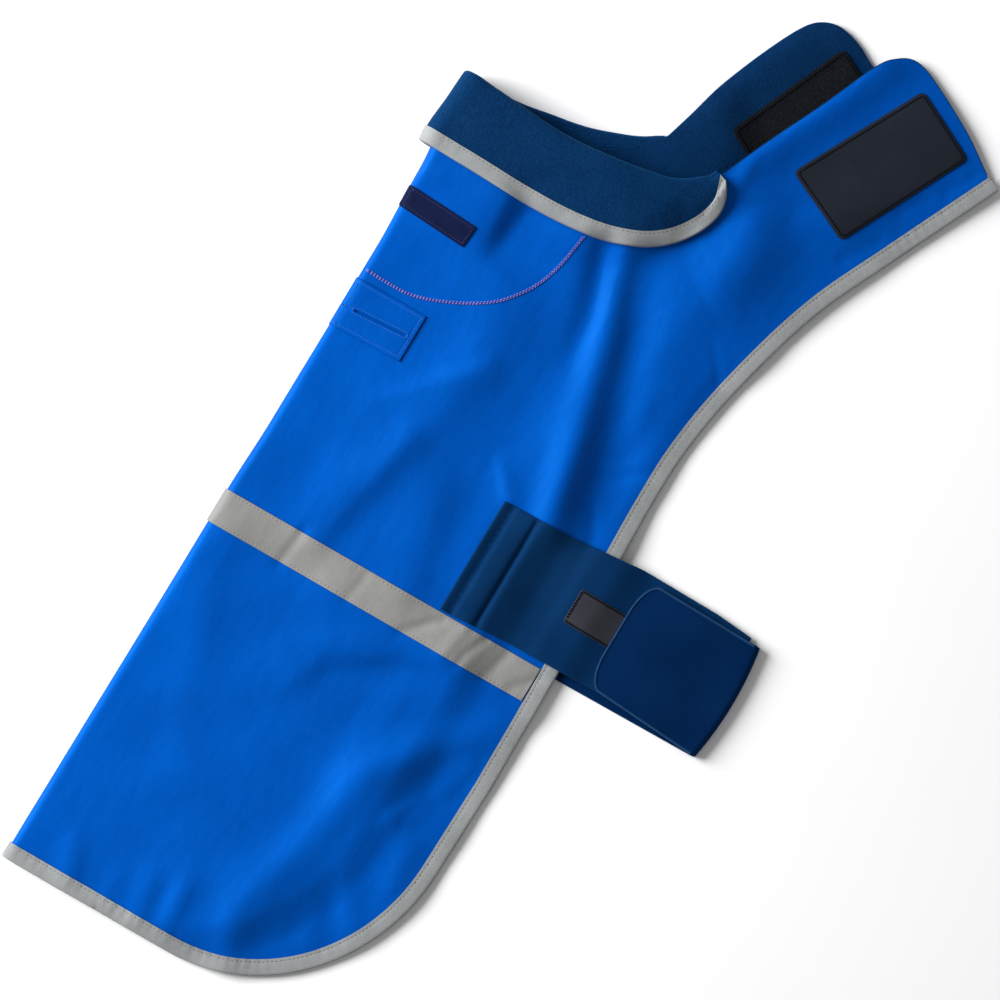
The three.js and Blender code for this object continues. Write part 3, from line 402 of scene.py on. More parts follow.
def spline(points, step, parts=24):
    """A smooth line through points."""
    p = np.asarray(points, float)
    ends = np.vstack([p[:1], p, p[-1:]])
    t = np.linspace(0, 1, parts, endpoint=False)[:, None]
    curves = [hermite(p1, p2, (p2 - p0) / 2, (p3 - p1) / 2, t)
              for p0, p1, p2, p3 in zip(ends, ends[1:], ends[2:], ends[3:])]
    return spaced(np.vstack([*curves, p[-1:]]), step)


def corner(shape, step):
    turn = np.linspace(0, -math.pi / 2, 60)
    return spaced(np.column_stack([shape["u"] + shape["across"] * np.cos(turn),
                                   shape["v"] + shape["along"] * np.sin(turn)]), step)


def divided(line, step, fold_step=1.3):
    """The same line with more points, keeping its own. It is finer round the fold."""
    line = np.asarray(line, float)
    parts = []
    for p, q in zip(line[:-1], line[1:]):
        at_fold = min(abs(p[0]), abs(q[0])) < FOLD_RADIUS + 1
        count = max(1, math.ceil(math.hypot(*(q - p)[:2]) / (fold_step if at_fold else step)))
        parts.append(p + (q - p) * (np.arange(count) / count)[:, None])
    return np.vstack([*parts, line[-1:]])


def moved(line, distance, closed=False):
    """A line moved sideways, to its left when the distance is positive."""
    line = np.asarray(line, float)
    step = np.diff(np.vstack([line[-1:], line, line[:1]]) if closed else line, axis=0)
    normal = unit(np.column_stack([-step[:, 1], step[:, 0]]))
    if closed:
        before, after = normal[:-1], normal[1:]
    else:
        before, after = np.vstack([normal[:1], normal]), np.vstack([normal, normal[-1:]])
    mean = unit(before + after)
    reach = distance / np.clip((mean * before).sum(1), 0.4, 1)
    return line + mean * reach[:, None]


def rounded(corners, radius, parts=5):
    points = []
    t = np.linspace(0, 1, parts + 1)[:, None]
    corners = np.asarray(corners, float)
    for before, at, after in zip(np.roll(corners, 1, 0), corners, np.roll(corners, -1, 0)):
        start, end = at + radius * unit(before - at), at + radius * unit(after - at)
        points.append((1 - t)**2 * start + 2 * t * (1 - t) * at + t**2 * end)
    return np.vstack(points)


def nearest(line, a, v):
    """Distance to a line, its other columns there, and the side: 1 is on its left, -1 on its right."""
    line = np.asarray(line, float)
    best = np.full(np.shape(a), np.inf)
    found = np.zeros(np.shape(a) + (line.shape[1] - 2,))
    side = np.zeros(np.shape(a))
    for p, q in zip(line[:-1], line[1:]):
        da, dv = q[:2] - p[:2]
        t = np.clip(((a - p[0]) * da + (v - p[1]) * dv) / (da * da + dv * dv + 1e-12), 0, 1)
        distance = np.hypot(a - lerp(p[0], q[0], t), v - lerp(p[1], q[1], t))
        across = (da * (v - p[1]) - dv * (a - p[0])) / np.hypot(da, dv)
        closer = distance < best
        best = np.where(closer, distance, best)
        found[closer] = lerp(p[2:], q[2:], t[closer, None])
        side[closer] = (across / np.maximum(distance, 1e-6))[closer]
    return best, found, side


def inside(outline, a, v):
    found = np.zeros(np.shape(a), bool)
    points = np.asarray(outline, float)
    for (a0, v0), (a1, v1) in zip(np.roll(points, 1, 0), points):
        if v0 != v1:
            found ^= ((v1 > v) != (v0 > v)) & (a < (a0 - a1) * (v - v1) / (v0 - v1) + a1)
    return found


# Outlines on the flat sheet
STEP = 3.0
near_belly = spline(NEAR_BELLY, STEP)
far_belly = spline(FAR_BELLY, STEP)
near_corner = corner(NEAR_CORNER, STEP)
far_corner = corner(FAR_CORNER, STEP)
bound_edge = divided(np.vstack([
    near_belly, near_corner[1:], [(FOLD_RADIUS, 0), (-FOLD_RADIUS, 0)],
    mirrored(far_corner[::-1]), mirrored(far_belly[1:]),
]), STEP)
neck_seam = divided(spline([
    *[(-row[0], row[1]) for row in COLLAR_FAR[::-1]],
    (-FOLD_RADIUS, COLLAR_FOLD["seam"]), (FOLD_RADIUS, COLLAR_FOLD["seam"]),
    *[row[:2] for row in COLLAR_NEAR],
], STEP), STEP)
near_flap = spline(NEAR_FLAP, STEP)
far_flap = np.array(mirrored(spline(FAR_FLAP, STEP)))
shell_edge = moved(bound_edge, -(TRIM + GAP))
shell_outline = np.vstack([shell_edge, far_flap, neck_seam, near_flap[::-1]])

far_support = np.vstack([[(-90, -90), (FAR_CORNER["u"], -90)], far_corner[::-1], far_belly[1:],
                         FAR_FLAP, [(-90, 740)]])
support_edge = spaced(joined(far_support), 6)
far_bound_edge = spaced(np.vstack([[(FOLD_RADIUS, 0)], far_corner[::-1], far_belly[1:]]), 8)
collar_edge = np.array(COLLAR_NEAR)[:, 4:6]


# Heights of both halves

def creases(rows, u, v):
    total = np.zeros(np.shape(u))
    for left, right, *points in rows:
        line = spline(points, CREASE_STEP) if len(points) > 2 else np.array(points, float)
        (u0, v0), (u1, v1) = line[:, :2].min(0), line[:, :2].max(0)
        reach = CREASE_REACH * max(left, right)
        near = (u > u0 - reach) & (u < u1 + reach) & (v > v0 - reach) & (v < v1 + reach)
        if near.any():
            distance, height, side = nearest(line, u[near], v[near])
            total[near] += height[:, 0] * bell(distance, 0, lerp(right, left, (1 + side) / 2))
    return total


def ripples(u, v, count=14, height=0.16):
    """Slow unevenness, so that no stretch of cloth is quite flat."""
    rng = np.random.default_rng(SEED)
    total = np.zeros(np.shape(u))
    for _ in range(count):
        turn, phase = rng.uniform(0, 2 * math.pi, 2)
        length = rng.uniform(35, 130)
        wave = (u * math.cos(turn) + v * math.sin(turn)) * 2 * math.pi / length + phase
        total += height * length / 90 * np.sin(wave)
    return total


def strap_height(u, v):
    """The near half lies higher over the far strap."""
    return STRAP_LIFT * ramp(u, *STRAP_U_IN) * ramp(v, *STRAP_IN) * ramp_down(v, *STRAP_OUT)


def far_height(u, v):
    distance, reach, _ = nearest(NECK_FAR, u, v)
    lifts = (
        COLLAR_LIFT * ramp_down(distance - reach[..., 0], *COLLAR_OUT),
        TAPE_LIFT * ramp(v, *TAPE_IN) * ramp_down(v, *TAPE_OUT),
        HEM_LIFT * ramp_down(nearest(far_bound_edge, u, v)[0], *HEM_OUT),
    )
    return strap_height(u, v) + np.cbrt(sum(lift**3 for lift in lifts))


def near_height(u, v):
    distance = nearest(support_edge, u, v)[0]
    past = np.where(inside(far_support, u, v), -distance, distance)
    over = ramp_down(past, STEP_FROM, lerp(STEP_TO, STEP_TO_HIGH, ramp(v, *STEP_GROWS)))
    distance, columns, _ = nearest(NECK_NEAR, u, v)
    gape = columns[..., 0] * ramp_down(distance / columns[..., 1], 0, 1)
    edge = EDGE_HEIGHT + strap_height(u, v) + LINED_EDGE * ramp(v, *LINED_EDGE_IN)
    body = BODY_HEIGHT + LINED_BODY * ramp(v, *LINED_BODY_IN) + far_height(u, v)
    covered = ramp(v - np.interp(u, *collar_edge.T), *COVER_IN) * ramp_down(u, *COVER_OUT)
    fine = creases(CREASES, u, v) * lerp(1, COVERED_LEFT, covered)
    height = lerp(edge, body, over) + gape + creases(FOLDS, u, v) + fine + ripples(u, v)
    return LOWEST + np.logaddexp(0, (height - LOWEST) / SOFT_STOP) * SOFT_STOP


def height_map(height):
    """A height worked out once on a grid, and read between its points on smooth curves."""
    axes = [np.arange(low, high, MAP_PITCH) for low, high in zip(MAP_LOW, MAP_HIGH)]
    u_grid, v_grid = np.meshgrid(*axes, indexing="ij")
    values = height(u_grid.ravel(), v_grid.ravel()).reshape(u_grid.shape)

    def read(u, v):
        taps = []
        for value, axis in zip((u, v), axes):
            place = (value - axis[0]) / MAP_PITCH
            cell = np.clip(np.floor(place).astype(int), 1, len(axis) - 3)
            t = np.clip(place - cell, 0, 1)
            taps.append((cell, ((-t**3 + 2 * t**2 - t) / 2, (3 * t**3 - 5 * t**2 + 2) / 2,
                                (-3 * t**3 + 4 * t**2 + t) / 2, (t**3 - t**2) / 2)))
        (i, across), (j, along) = taps
        return sum(across[p] * along[q] * values[i + p - 1, j + q - 1]
                   for p in range(4) for q in range(4))
    return read


def back_stray(v):
    rows = np.array(BACK_LINE, float)
    i = np.clip(np.searchsorted(rows[:, 0], v), 1, len(rows) - 1)
    t = ramp((v - rows[i - 1, 0]) / (rows[i, 0] - rows[i - 1, 0]), 0, 1)
    return lerp(rows[i - 1, 1], rows[i, 1], t)


near_map = height_map(near_height)
far_map = height_map(far_height)
far_crease_map = height_map(lambda u, v: np.maximum(0, creases(FAR_CREASES, u, v)))


# Spots on each sheet, as a function that places them at any height h

def on_coat(a, v):
    a, v = floats(a, v)
    away = np.abs(a)
    u = np.maximum(away, FOLD_RADIUS) + back_stray(v) * ramp_down(away, FOLD_RADIUS, STRAY_OUT)
    top, low = near_map(u, v), far_map(u, v)
    low_face = low + far_crease_map(u, v) * ramp(away, FOLD_RADIUS, FAR_CREASES_IN)
    turn = np.clip(a / FOLD_RADIUS, -1, 1) * math.pi / 2

    def at(h):
        h = np.broadcast_to(h, a.shape)
        z = np.where(a >= FOLD_RADIUS, top + h, low_face - h)
        round_fold = (top + low) / 2 + ((top - low) / 2 + h) * np.sin(turn)
        z = np.where(away < FOLD_RADIUS, round_fold, z)
        x = np.where(away < FOLD_RADIUS, u - (FOLD_RADIUS + h) * np.cos(turn), u)
        return np.column_stack([x, v, z])
    return at


def on_near_strap(a, v):
    a, v = floats(a, v)
    on_shell = on_coat(a, v)(0)[:, 2] + STRAP_CLEAR + (TRIM + BINDING_GAP) * ramp(a, *STRAP_AT_BINDING)
    low = lerp(on_shell, STRAP + GAP, ramp(a, *STRAP_COMES_DOWN))
    return lambda h: np.column_stack([a, v, low + h])


BEND = math.pi * TOP_LEAF["radius"]
BEND_START = FAR_STRAP["bend"] - FAR_STRAP["start"]
BEND_END = BEND_START + BEND
STRAP_LENGTH = BEND_END + FAR_STRAP["bend"] - FAR_STRAP["end"]


def on_far_strap(s, v):
    """s runs along the strap from its sewn end, round the bend to its tip."""
    s, v = floats(s, v)
    bulge = FAR_STRAP["bulge"] * (1 - ((v - FAR_STRAP["middle"]) / FAR_STRAP["half"])**2)
    over = FAR_STRAP["bulge_over"]
    shift = bulge * ramp(s, BEND_START - over, BEND_START) * ramp_down(s, BEND_END, BEND_END + over)
    middle, radius = STRAP / 2, TOP_LEAF["radius"]
    turn = np.clip((s - BEND_START) / radius, 0, math.pi)
    u_top = FAR_STRAP["bend"] - (s - BEND_END)
    puffed = np.clip((u_top - TOP_LEAF["puff_from"]) / TOP_LEAF["puff_width"], 0, 1)
    puff = TOP_LEAF["puff"] * np.sin(math.pi * puffed)**2
    rise = (TOP_LEAF["patch_clear"] - TOP_LEAF["low"]) * ramp_down(u_top, *TOP_LEAF["drops"])
    top = lerp(TOP_LEAF["low"] + middle + rise + puff, middle + 2 * radius,
               ramp(u_top, TOP_LEAF["meets"], FAR_STRAP["bend"]))
    (rate_v, rate_u), (from_v, from_u) = TOP_LEAF["wave_rates"], TOP_LEAF["wave_from"]
    wave = TOP_LEAF["wave"] * np.sin(v * rate_v + from_v) * np.sin((u_top - from_u) * rate_u)
    top = top + wave * ramp_down(u_top, *TOP_LEAF["wave_out"])

    def at(h):
        flat, bent = s <= BEND_START, s < BEND_END
        x = np.where(flat, FAR_STRAP["start"] + s,
                     np.where(bent, FAR_STRAP["bend"] + (radius + h) * np.sin(turn), u_top))
        z = np.where(flat, middle - h,
                     np.where(bent, middle + radius - (radius + h) * np.cos(turn), top + h))
        return np.column_stack([x + shift, v, z])
    return at


# Meshes

def to_world(points):
    points = np.asarray(points, float) - (U_MID, V_MID, 0)
    points[:, 2] = np.maximum(points[:, 2], FLOOR_CLEAR)
    return points * MM


def add_object(name, data, location=(0, 0, 0), turn=(0, 0, 0)):
    obj = bpy.data.objects.new(name, data)
    obj.location = location
    obj.rotation_euler = turn
    bpy.context.scene.collection.objects.link(obj)
    return obj


def make_object(name, points, faces, materials, kinds=None, sharp=50):
    mesh = bpy.data.meshes.new(name)
    mesh.from_pydata(to_world(points).tolist(), [], [list(map(int, face)) for face in faces])
    for item in materials:
        mesh.materials.append(item)
    if kinds is not None:
        mesh.polygons.foreach_set("material_index", np.asarray(kinds, np.int32))
    mesh.shade_smooth()
    mesh.set_sharp_from_angle(angle=math.radians(sharp))
    mesh.update()
    return add_object(name, mesh)


def grid_points(outline, pitch, margin):
    """Points of a staggered grid inside an outline, clear of its edge and finer across the fold."""
    (a0, v0), (a1, v1) = outline.min(0), outline.max(0)
    near = np.arange(FOLD_RADIUS + pitch / 2, a1, pitch)
    far = -np.arange(FOLD_RADIUS + pitch / 2, -a0, pitch * 1.5)
    fold = np.arange(-FOLD_RADIUS, FOLD_RADIUS + 0.01, FOLD_PITCH)
    points = []
    for i, v in enumerate(np.arange(v0 + pitch / 2, v1, pitch)):
        shift = (i % 2) * pitch / 2
        a = np.concatenate([near + shift, far - shift * 1.5, fold])
        points.append(np.column_stack([a, np.full(len(a), v)]))
    points = np.vstack(points)
    points = points[(points[:, 0] > a0) & (points[:, 0] < a1)]
    return points[inside(moved(outline, margin, True), *points.T)]


def panel(name, outline, spots, low, high, materials, pitch=STEP, rounding=0.0, relief=None, lines=()):
    """A piece cut out on the flat sheet, with both faces and its edge. Relief moves its faces."""
    outline = np.asarray(outline, float)
    if np.allclose(outline[0], outline[-1]):
        outline = outline[:-1]
    outline = outline[np.linalg.norm(outline - np.roll(outline, 1, 0), axis=1) > SHORTEST]
    outline = divided(joined(left_turning(outline)), pitch)[:-1]
    extra = [moved(outline, rounding * share, True) for share in EDGE_ROWS] if rounding else []
    grid = grid_points(outline, pitch, pitch * EDGE_CLEAR + rounding * EDGE_ROWS[-1])
    for line in lines:
        grid = grid[nearest(line, *grid.T)[0] > pitch * LINE_CLEAR]
    flat = np.vstack([outline, *extra, *lines, grid])
    edge = [(i, (i + 1) % len(outline)) for i in range(len(outline))]
    found = delaunay_2d_cdt([Vector(p) for p in flat.tolist()], edge, [], 0, 1e-5, False)
    flat = np.array([tuple(p) for p in found[0]])
    faces = np.array(found[2])
    faces = faces[inside(outline, *flat[faces].mean(1).T)]
    p, q, r = (flat[faces[:, k]] for k in range(3))
    doubled = (q[:, 0] - p[:, 0]) * (r[:, 1] - p[:, 1]) - (q[:, 1] - p[:, 1]) * (r[:, 0] - p[:, 0])
    faces[doubled < 0] = faces[doubled < 0][:, ::-1]
    faces = faces[np.abs(doubled) > 1e-6].tolist()
    top, bottom = float(high), float(low)
    if rounding:
        distance = nearest(joined(outline), *flat.T)[0]
        sunk = np.clip(1 - distance / rounding, 0, 1)
        drop = (1 - np.sqrt(1 - sunk**2)) * (high - low) * EDGE_DROP
        top, bottom = top - drop, bottom + drop
    if relief:
        rise_top, rise_low = relief(*flat.T, distance)
        top, bottom = top + rise_top, bottom + rise_low
    count = len(flat)
    directed = dict.fromkeys(side for i, j, k in faces for side in ((i, j), (j, k), (k, i)))
    walls = [(i, i + count, j + count, j) for i, j in directed if (j, i) not in directed]
    lower = [(k + count, j + count, i + count) for i, j, k in faces]
    kinds = [0] * len(faces) + [len(materials) - 1] * len(lower) + [0] * len(walls)
    at = spots(*flat.T)
    return make_object(name, np.vstack([at(top), at(bottom)]), [*faces, *lower, *walls], materials, kinds)


def ribbon(name, sections, material, sharp=50):
    """A closed band through sections: an array of sections, points round each, and x, y, z."""
    count, across = sections.shape[:2]
    number = np.arange(count * across).reshape(count, across)
    after = np.roll(number, -1, 1)
    faces = np.stack([number[:-1], after[:-1], after[1:], number[1:]], -1).reshape(-1, 4)
    points = sections.reshape(-1, 3)
    p, q, r = points[faces[:, 0]], points[faces[:, 1]], points[faces[:, 3]]
    ends = [number[0][::-1].tolist(), number[-1].tolist()]
    if (p * np.cross(q, r)).sum() < 0:
        faces = faces[:, ::-1]
        ends = [end[::-1] for end in ends]
    return make_object(name, points, [*faces.tolist(), *ends], [material], sharp=sharp)


# Materials

def add(tree, kind, output, values=(), links=(), **settings):
    """A new node with its settings, values and links, and the output that is used."""
    node = tree.nodes.new("ShaderNode" + kind)
    for name, value in settings.items():
        setattr(node, name, value)
    for name, value in dict(values).items():
        node.inputs[name].default_value = value
    for name, source in dict(links).items():
        tree.links.new(source, node.inputs[name])
    return node.outputs[output]


def noise(tree, vector, size, detail=3.0, rough=0.5):
    """Noise with features of about that size in millimetres."""
    return add(tree, "TexNoise", "Fac", {"Scale": 1 / size, "Detail": detail, "Roughness": rough},
               {"Vector": vector})


def colours(tree, value, first, second, low, high):
    made = tree.nodes.new("ShaderNodeValToRGB")
    for element, place, colour in zip(made.color_ramp.elements, (low, high), (first, second)):
        element.position = place
        element.color = (*colour, 1)
    tree.links.new(value, made.inputs["Fac"])
    return made.outputs["Color"]


def bump(tree, height, distance, below):
    """Bumps of that height in millimetres, on top of those below."""
    return add(tree, "Bump", "Normal", {"Strength": 1.0, "Distance": distance * MM},
               {"Height": height, **below})


def threads(tree, vector, direction, period):
    values = {"Scale": math.pi / 10 / period, "Distortion": 0.4, "Detail": 1.0, "Detail Scale": 2.0}
    return add(tree, "TexWave", "Fac", values, {"Vector": vector}, bands_direction=direction)


def cloth(name, dark, light, roughness, blotch, grain, grain_height, weave=None, weave_height=0.05,
          crinkle=0.0, tone=0.12, metallic=0.0, specular=0.5, specular_tint=(1, 1, 1), sheen=0.0,
          sheen_tint=(1, 1, 1)):
    """Woven or napped cloth: two tones in blotches, a fine grain, and a weave or soft crinkles."""
    made = bpy.data.materials.new(name)
    made.use_nodes = True
    tree = made.node_tree
    shader = tree.nodes["Principled BSDF"].inputs
    for socket, value in {
        "Roughness": roughness, "Metallic": metallic, "Specular IOR Level": specular,
        "Specular Tint": (*specular_tint, 1), "Sheen Weight": sheen, "Sheen Roughness": 0.45,
        "Sheen Tint": (*sheen_tint, 1),
    }.items():
        shader[socket].default_value = value
    place = add(tree, "TexCoord", "Object")
    vector = add(tree, "Mapping", "Vector", {"Scale": (1 / MM,) * 3}, {"Vector": place})
    base = colours(tree, noise(tree, vector, blotch), dark, light, 0.35, 0.65)
    fine = noise(tree, vector, grain, rough=0.6)
    speckle = colours(tree, fine, (1 - tone,) * 3, (1 + tone,) * 3, 0.3, 0.7)
    colour = add(tree, "Mix", "Result", {"Factor": 1.0}, {"A": base, "B": speckle}, data_type="RGBA",
                 blend_type="MULTIPLY")
    normal = bump(tree, fine, grain_height, {})
    if weave:
        warp, weft = (threads(tree, vector, direction, weave) for direction in "XY")
        crossed = add(tree, "Math", "Value", links={0: warp, 1: weft}, operation="MAXIMUM")
        normal = bump(tree, crossed, weave_height, {"Normal": normal})
    if crinkle:
        drawn_out = add(tree, "Mapping", "Vector", {"Scale": (1.5, 0.7, 1.0)}, {"Vector": vector})
        normal = bump(tree, noise(tree, drawn_out, 17.0, 2.0), crinkle, {"Normal": normal})
    rough = add(tree, "MapRange", "Result", {"To Min": roughness - 0.06, "To Max": roughness + 0.06},
                {"Value": fine})
    for socket, source in {"Base Color": colour, "Normal": normal, "Roughness": rough}.items():
        tree.links.new(source, shader[socket])
    return made


def thread(name, dark, light, roughness=0.7, tone=0.1, **finish):
    return cloth(name, dark, light, roughness, 4, 0.3, 0.03, tone=tone, **finish)


NAVY = {"specular_tint": (0.1, 0.5, 1.0), "sheen_tint": (0.04, 0.4, 0.85)}
NYLON = cloth("nylon", (0.0, 0.062, 0.36), (0.0, 0.072, 0.41), 0.54, 70, 1.1, 0.03, weave=0.9,
              weave_height=0.015, crinkle=0.45, tone=0.03, specular=0.25, metallic=0.1,
              specular_tint=(0.02, 0.6, 0.85))
FLEECE = cloth("fleece", (0.0018, 0.018, 0.066), (0.0026, 0.022, 0.078), 0.95, 30, 1.4, 0.6, tone=0.25,
               specular=0.08, sheen=0.18, **NAVY)
COLLAR_FLEECE = cloth("collar_fleece", (0.002, 0.022, 0.078), (0.003, 0.026, 0.09), 0.95, 30, 1.4, 0.7,
                      tone=0.3, specular=0.08, sheen=0.2, **NAVY)
STRAP_CLOTH = cloth("strap_fleece", (0.0018, 0.02, 0.075), (0.0026, 0.025, 0.088), 0.9, 40, 1.0, 0.22,
                    weave=1.0, weave_height=0.04, specular=0.1, sheen=0.12, **NAVY)
FAR_STRAP_CLOTH = cloth("far_strap_fleece", (0.0008, 0.0125, 0.058), (0.0014, 0.016, 0.07), 0.9, 40, 1.0,
                        0.22, weave=1.0, weave_height=0.04, specular=0.08, sheen=0.1, **NAVY)
BINDING_CLOTH = cloth("binding", (0.232, 0.242, 0.245), (0.265, 0.276, 0.28), 0.8, 24, 0.9, 0.12,
                      weave=0.8, weave_height=0.08, specular=0.25)
TAPE_CLOTH = cloth("tape", (0.192, 0.191, 0.186), (0.225, 0.223, 0.217), 0.6, 40, 0.8, 0.06, tone=0.07,
                   crinkle=0.4, specular=0.35)
LABEL_CLOTH = cloth("label", (0.002, 0.0055, 0.033), (0.003, 0.007, 0.041), 0.8, 8, 0.5, 0.05, weave=0.6,
                    weave_height=0.06, specular=0.1)
LOOP_PILE = cloth("loop_closure", (0.012, 0.0155, 0.023), (0.015, 0.018, 0.028), 0.95, 30, 0.8, 0.3,
                  tone=0.2, specular=0.1)
HOOK_PILE = cloth("hook_closure", (0.0015, 0.0028, 0.005), (0.005, 0.0065, 0.01), 0.85, 2.2, 1.1, 0.9,
                  weave=1.5, weave_height=0.3, tone=0.5, specular=0.15)
STRAP_PILE = cloth("strap_closure", (0.03, 0.031, 0.04), (0.036, 0.037, 0.047), 0.95, 20, 0.8, 0.25,
                   tone=0.15, specular=0.1)
PALE_FLOOR = cloth("pale_floor", (0.90, 0.90, 0.905), (0.915, 0.915, 0.918), 0.9, 300, 4.0, 0.01,
                   tone=0.004, specular=0.1)
PIPING = cloth("piping", (0.004, 0.03, 0.10), (0.007, 0.042, 0.125), 0.8, 6, 0.6, 0.1, tone=0.15,
               specular=0.15, sheen=0.2, sheen_tint=(0.1, 0.5, 0.9))
ARC_THREAD = thread("arc_thread", (0.08, 0.09, 0.4), (0.14, 0.135, 0.47), tone=0.15)
GREY_THREAD = thread("grey_thread", (0.20, 0.197, 0.19), (0.26, 0.255, 0.25))
BLUE_THREAD = thread("blue_thread", (0.0, 0.09, 0.46), (0.005, 0.11, 0.52), 0.6)
DARK_THREAD = thread("dark_thread", (0.003, 0.004, 0.008), (0.005, 0.006, 0.012), 0.9, specular=0.1)
LABEL_THREAD = thread("label_thread", (0.012, 0.014, 0.085), (0.02, 0.022, 0.11))


# Pieces

def flap_rim(a, v, distance):
    """The lining's loose edge is rolled, with a line of sewing inside it."""
    edge = np.minimum(nearest(far_flap, a, v)[0], nearest(near_flap, a, v)[0])
    roll = bell(distance, *RIM_RELIEF["roll"]) - bell(distance, *RIM_RELIEF["sewing"])
    return 0, -RIM_RELIEF["height"] * roll * (edge < distance + 1)


def sewn_edge(inset, depth, width):
    return lambda a, v, distance: (-depth * bell(distance, inset, width), 0)


shell = panel("coat_shell", shell_outline, on_coat, -SHELL, 0, [NYLON, FLEECE])

inset_edge = moved(bound_edge, -LINING_INSET)
inset_edge = inset_edge[inset_edge[:, 1] > LINING_LOW["v"] + 4]
lining_outline = np.vstack([
    inset_edge[inset_edge[:, 0] > 0],
    [(LINING_LOW["near"], LINING_LOW["v"]), (-LINING_LOW["far"], LINING_LOW["v"])],
    inset_edge[inset_edge[:, 0] < 0],
    moved(far_flap, RIM)[1:], neck_seam, moved(near_flap, -RIM)[1:][::-1],
])
lining = panel("coat_lining", lining_outline, on_coat, -SHELL - GAP - LINING, -SHELL - GAP,
               [FLEECE], rounding=0.7, relief=flap_rim)


def puckers(along, seed, longest, height):
    """Small waves along a sewn edge."""
    rng = np.random.default_rng(seed)
    parts = zip(rng.uniform(5, longest, 6), rng.uniform(0, 6.3, 6))
    return height * sum(np.sin(along * 2 * math.pi / length + phase) for length, phase in parts)


def band_rows(shares, drawn_in, top, low, wobble, low_dip, inner):
    """Rows round a band that is folded over an edge, its sewing drawn in a little: the share of its
    width that a row lies in from the edge, its height, and the share of the nose that it lies out."""
    rows = [(share, top + dip + wobble * share, 0) for share, dip in zip(shares, drawn_in)]
    middle = (top + low) / 2
    for angle in np.linspace(math.pi / 2, -math.pi / 2, 9)[1:-1]:
        rows.append((0, middle + (top - middle) * math.sin(angle), math.cos(angle)))
    rows += [(share, low - dip * low_dip, 0) for share, dip in zip(shares[::-1], drawn_in[::-1])]
    rows += [(share, low + TRIM, 0) for share in inner[::-1]]
    return rows + [(share, top - TRIM, 0) for share in inner]


binding_top, binding_low = BINDING_GAP + TRIM, -SHELL - BINDING_GAP - TRIM
band_line = divided(bound_edge, 2.0, 1.0)
band_wobble = puckers(lengths(band_line), SEED + 1, 16, EDGE_PUCKER)
edge_sections = []
for share, h, out in band_rows(*EDGE_LEAF, binding_top, binding_low, band_wobble, 0.5, (0.12, 0.5, 1.0)):
    inset = TRIM * (1 - out) if out else BINDING * share
    edge_sections.append(on_coat(*moved(band_line, -inset).T)(h))
edge_binding = ribbon("edge_binding_cloth", np.stack(edge_sections, 1), BINDING_CLOTH)

near_end, far_end = TAPE["near_end"], -TAPE["far_end"]
tape_outline = [
    (near_end, TAPE["low"] + TAPE["near_rise"]), (near_end, TAPE["high"] + TAPE["near_rise"]),
    (0, TAPE["high"]), (far_end, TAPE["high"] + TAPE["far_rise"]),
    (far_end, TAPE["low"] + TAPE["far_rise"]), (0, TAPE["low"]),
]
tape = panel("reflective_tape_cloth", tape_outline, on_coat, GAP, GAP + TRIM, [TAPE_CLOTH],
             pitch=2.5, rounding=0.6, relief=sewn_edge(1.9, 0.2, 0.7))
label = panel("label_cloth", rounded(LABEL, 1.2, 2), on_coat, GAP, GAP + TRIM, [LABEL_CLOTH],
              pitch=2.0, rounding=0.7, relief=sewn_edge(1.8, 0.25, 0.6))

slit_from, slit_to = LEASH_SLIT["from"], LEASH_SLIT["to"]
slit_half = LEASH_SLIT["width"] / 2
slit_slope = (slit_to[1] - slit_from[1]) / (slit_to[0] - slit_from[0])


def on_slit(a):
    return a, slit_from[1] + slit_slope * (a - slit_from[0])


def leash_outline():
    """The patch, with a cut as fine as a hair from its left edge to the slit."""
    top_left, top_right, low_right, low_left = LEASH_PATCH
    hair = LEASH_SLIT["hair"]
    cut = [(*on_slit((top_left[0] + low_left[0]) / 2), hair), (slit_from[0] - 0.6, slit_from[1], hair),
           (slit_from[0] + 0.6, slit_from[1], slit_half), (slit_to[0] - 0.8, slit_to[1], slit_half)]
    lower, upper = ([(a, v + side * out) for a, v, out in cut] for side in (-1, 1))
    return [top_left, top_right, low_right, low_left, *lower, (slit_to[0] + 0.2, slit_to[1]), *upper[::-1]]


def leash_relief(a, v, distance):
    """Its edges are turned under and sewn down, and the slit is bound."""
    slit = nearest([slit_from, slit_to], a, v)[0]
    border = nearest(joined(LEASH_PATCH), a, v)[0]
    return (swell(slit, *LEASH_RELIEF["slit"]) - swell(border, *LEASH_RELIEF["sewing"])
            + swell(border, *LEASH_RELIEF["turned"])), 0


leash_patch = panel("leash_patch_cloth", leash_outline(), on_coat, GAP, GAP + TRIM, [NYLON],
                    pitch=1.8, rounding=0.5, relief=leash_relief)
loop_outline = rounded(LOOP_PATCH, PATCH_ROUND)
flap_loop_patch = panel("flap_loop_patch_cloth", loop_outline, on_coat, GAP, GAP + PATCH, [LOOP_PILE],
                        pitch=2.5, rounding=0.6, relief=sewn_edge(0, 0.35, 2.2))
hook_low = -SHELL - GAP - LINING - GAP - PATCH
hook_outline = mirrored(rounded(HOOK_PATCH, PATCH_ROUND).tolist())
flap_hook_patch = panel("flap_hook_patch_cloth", hook_outline, on_coat, hook_low, hook_low + PATCH,
                        [HOOK_PILE], pitch=2.5, rounding=0.6)


# The collar

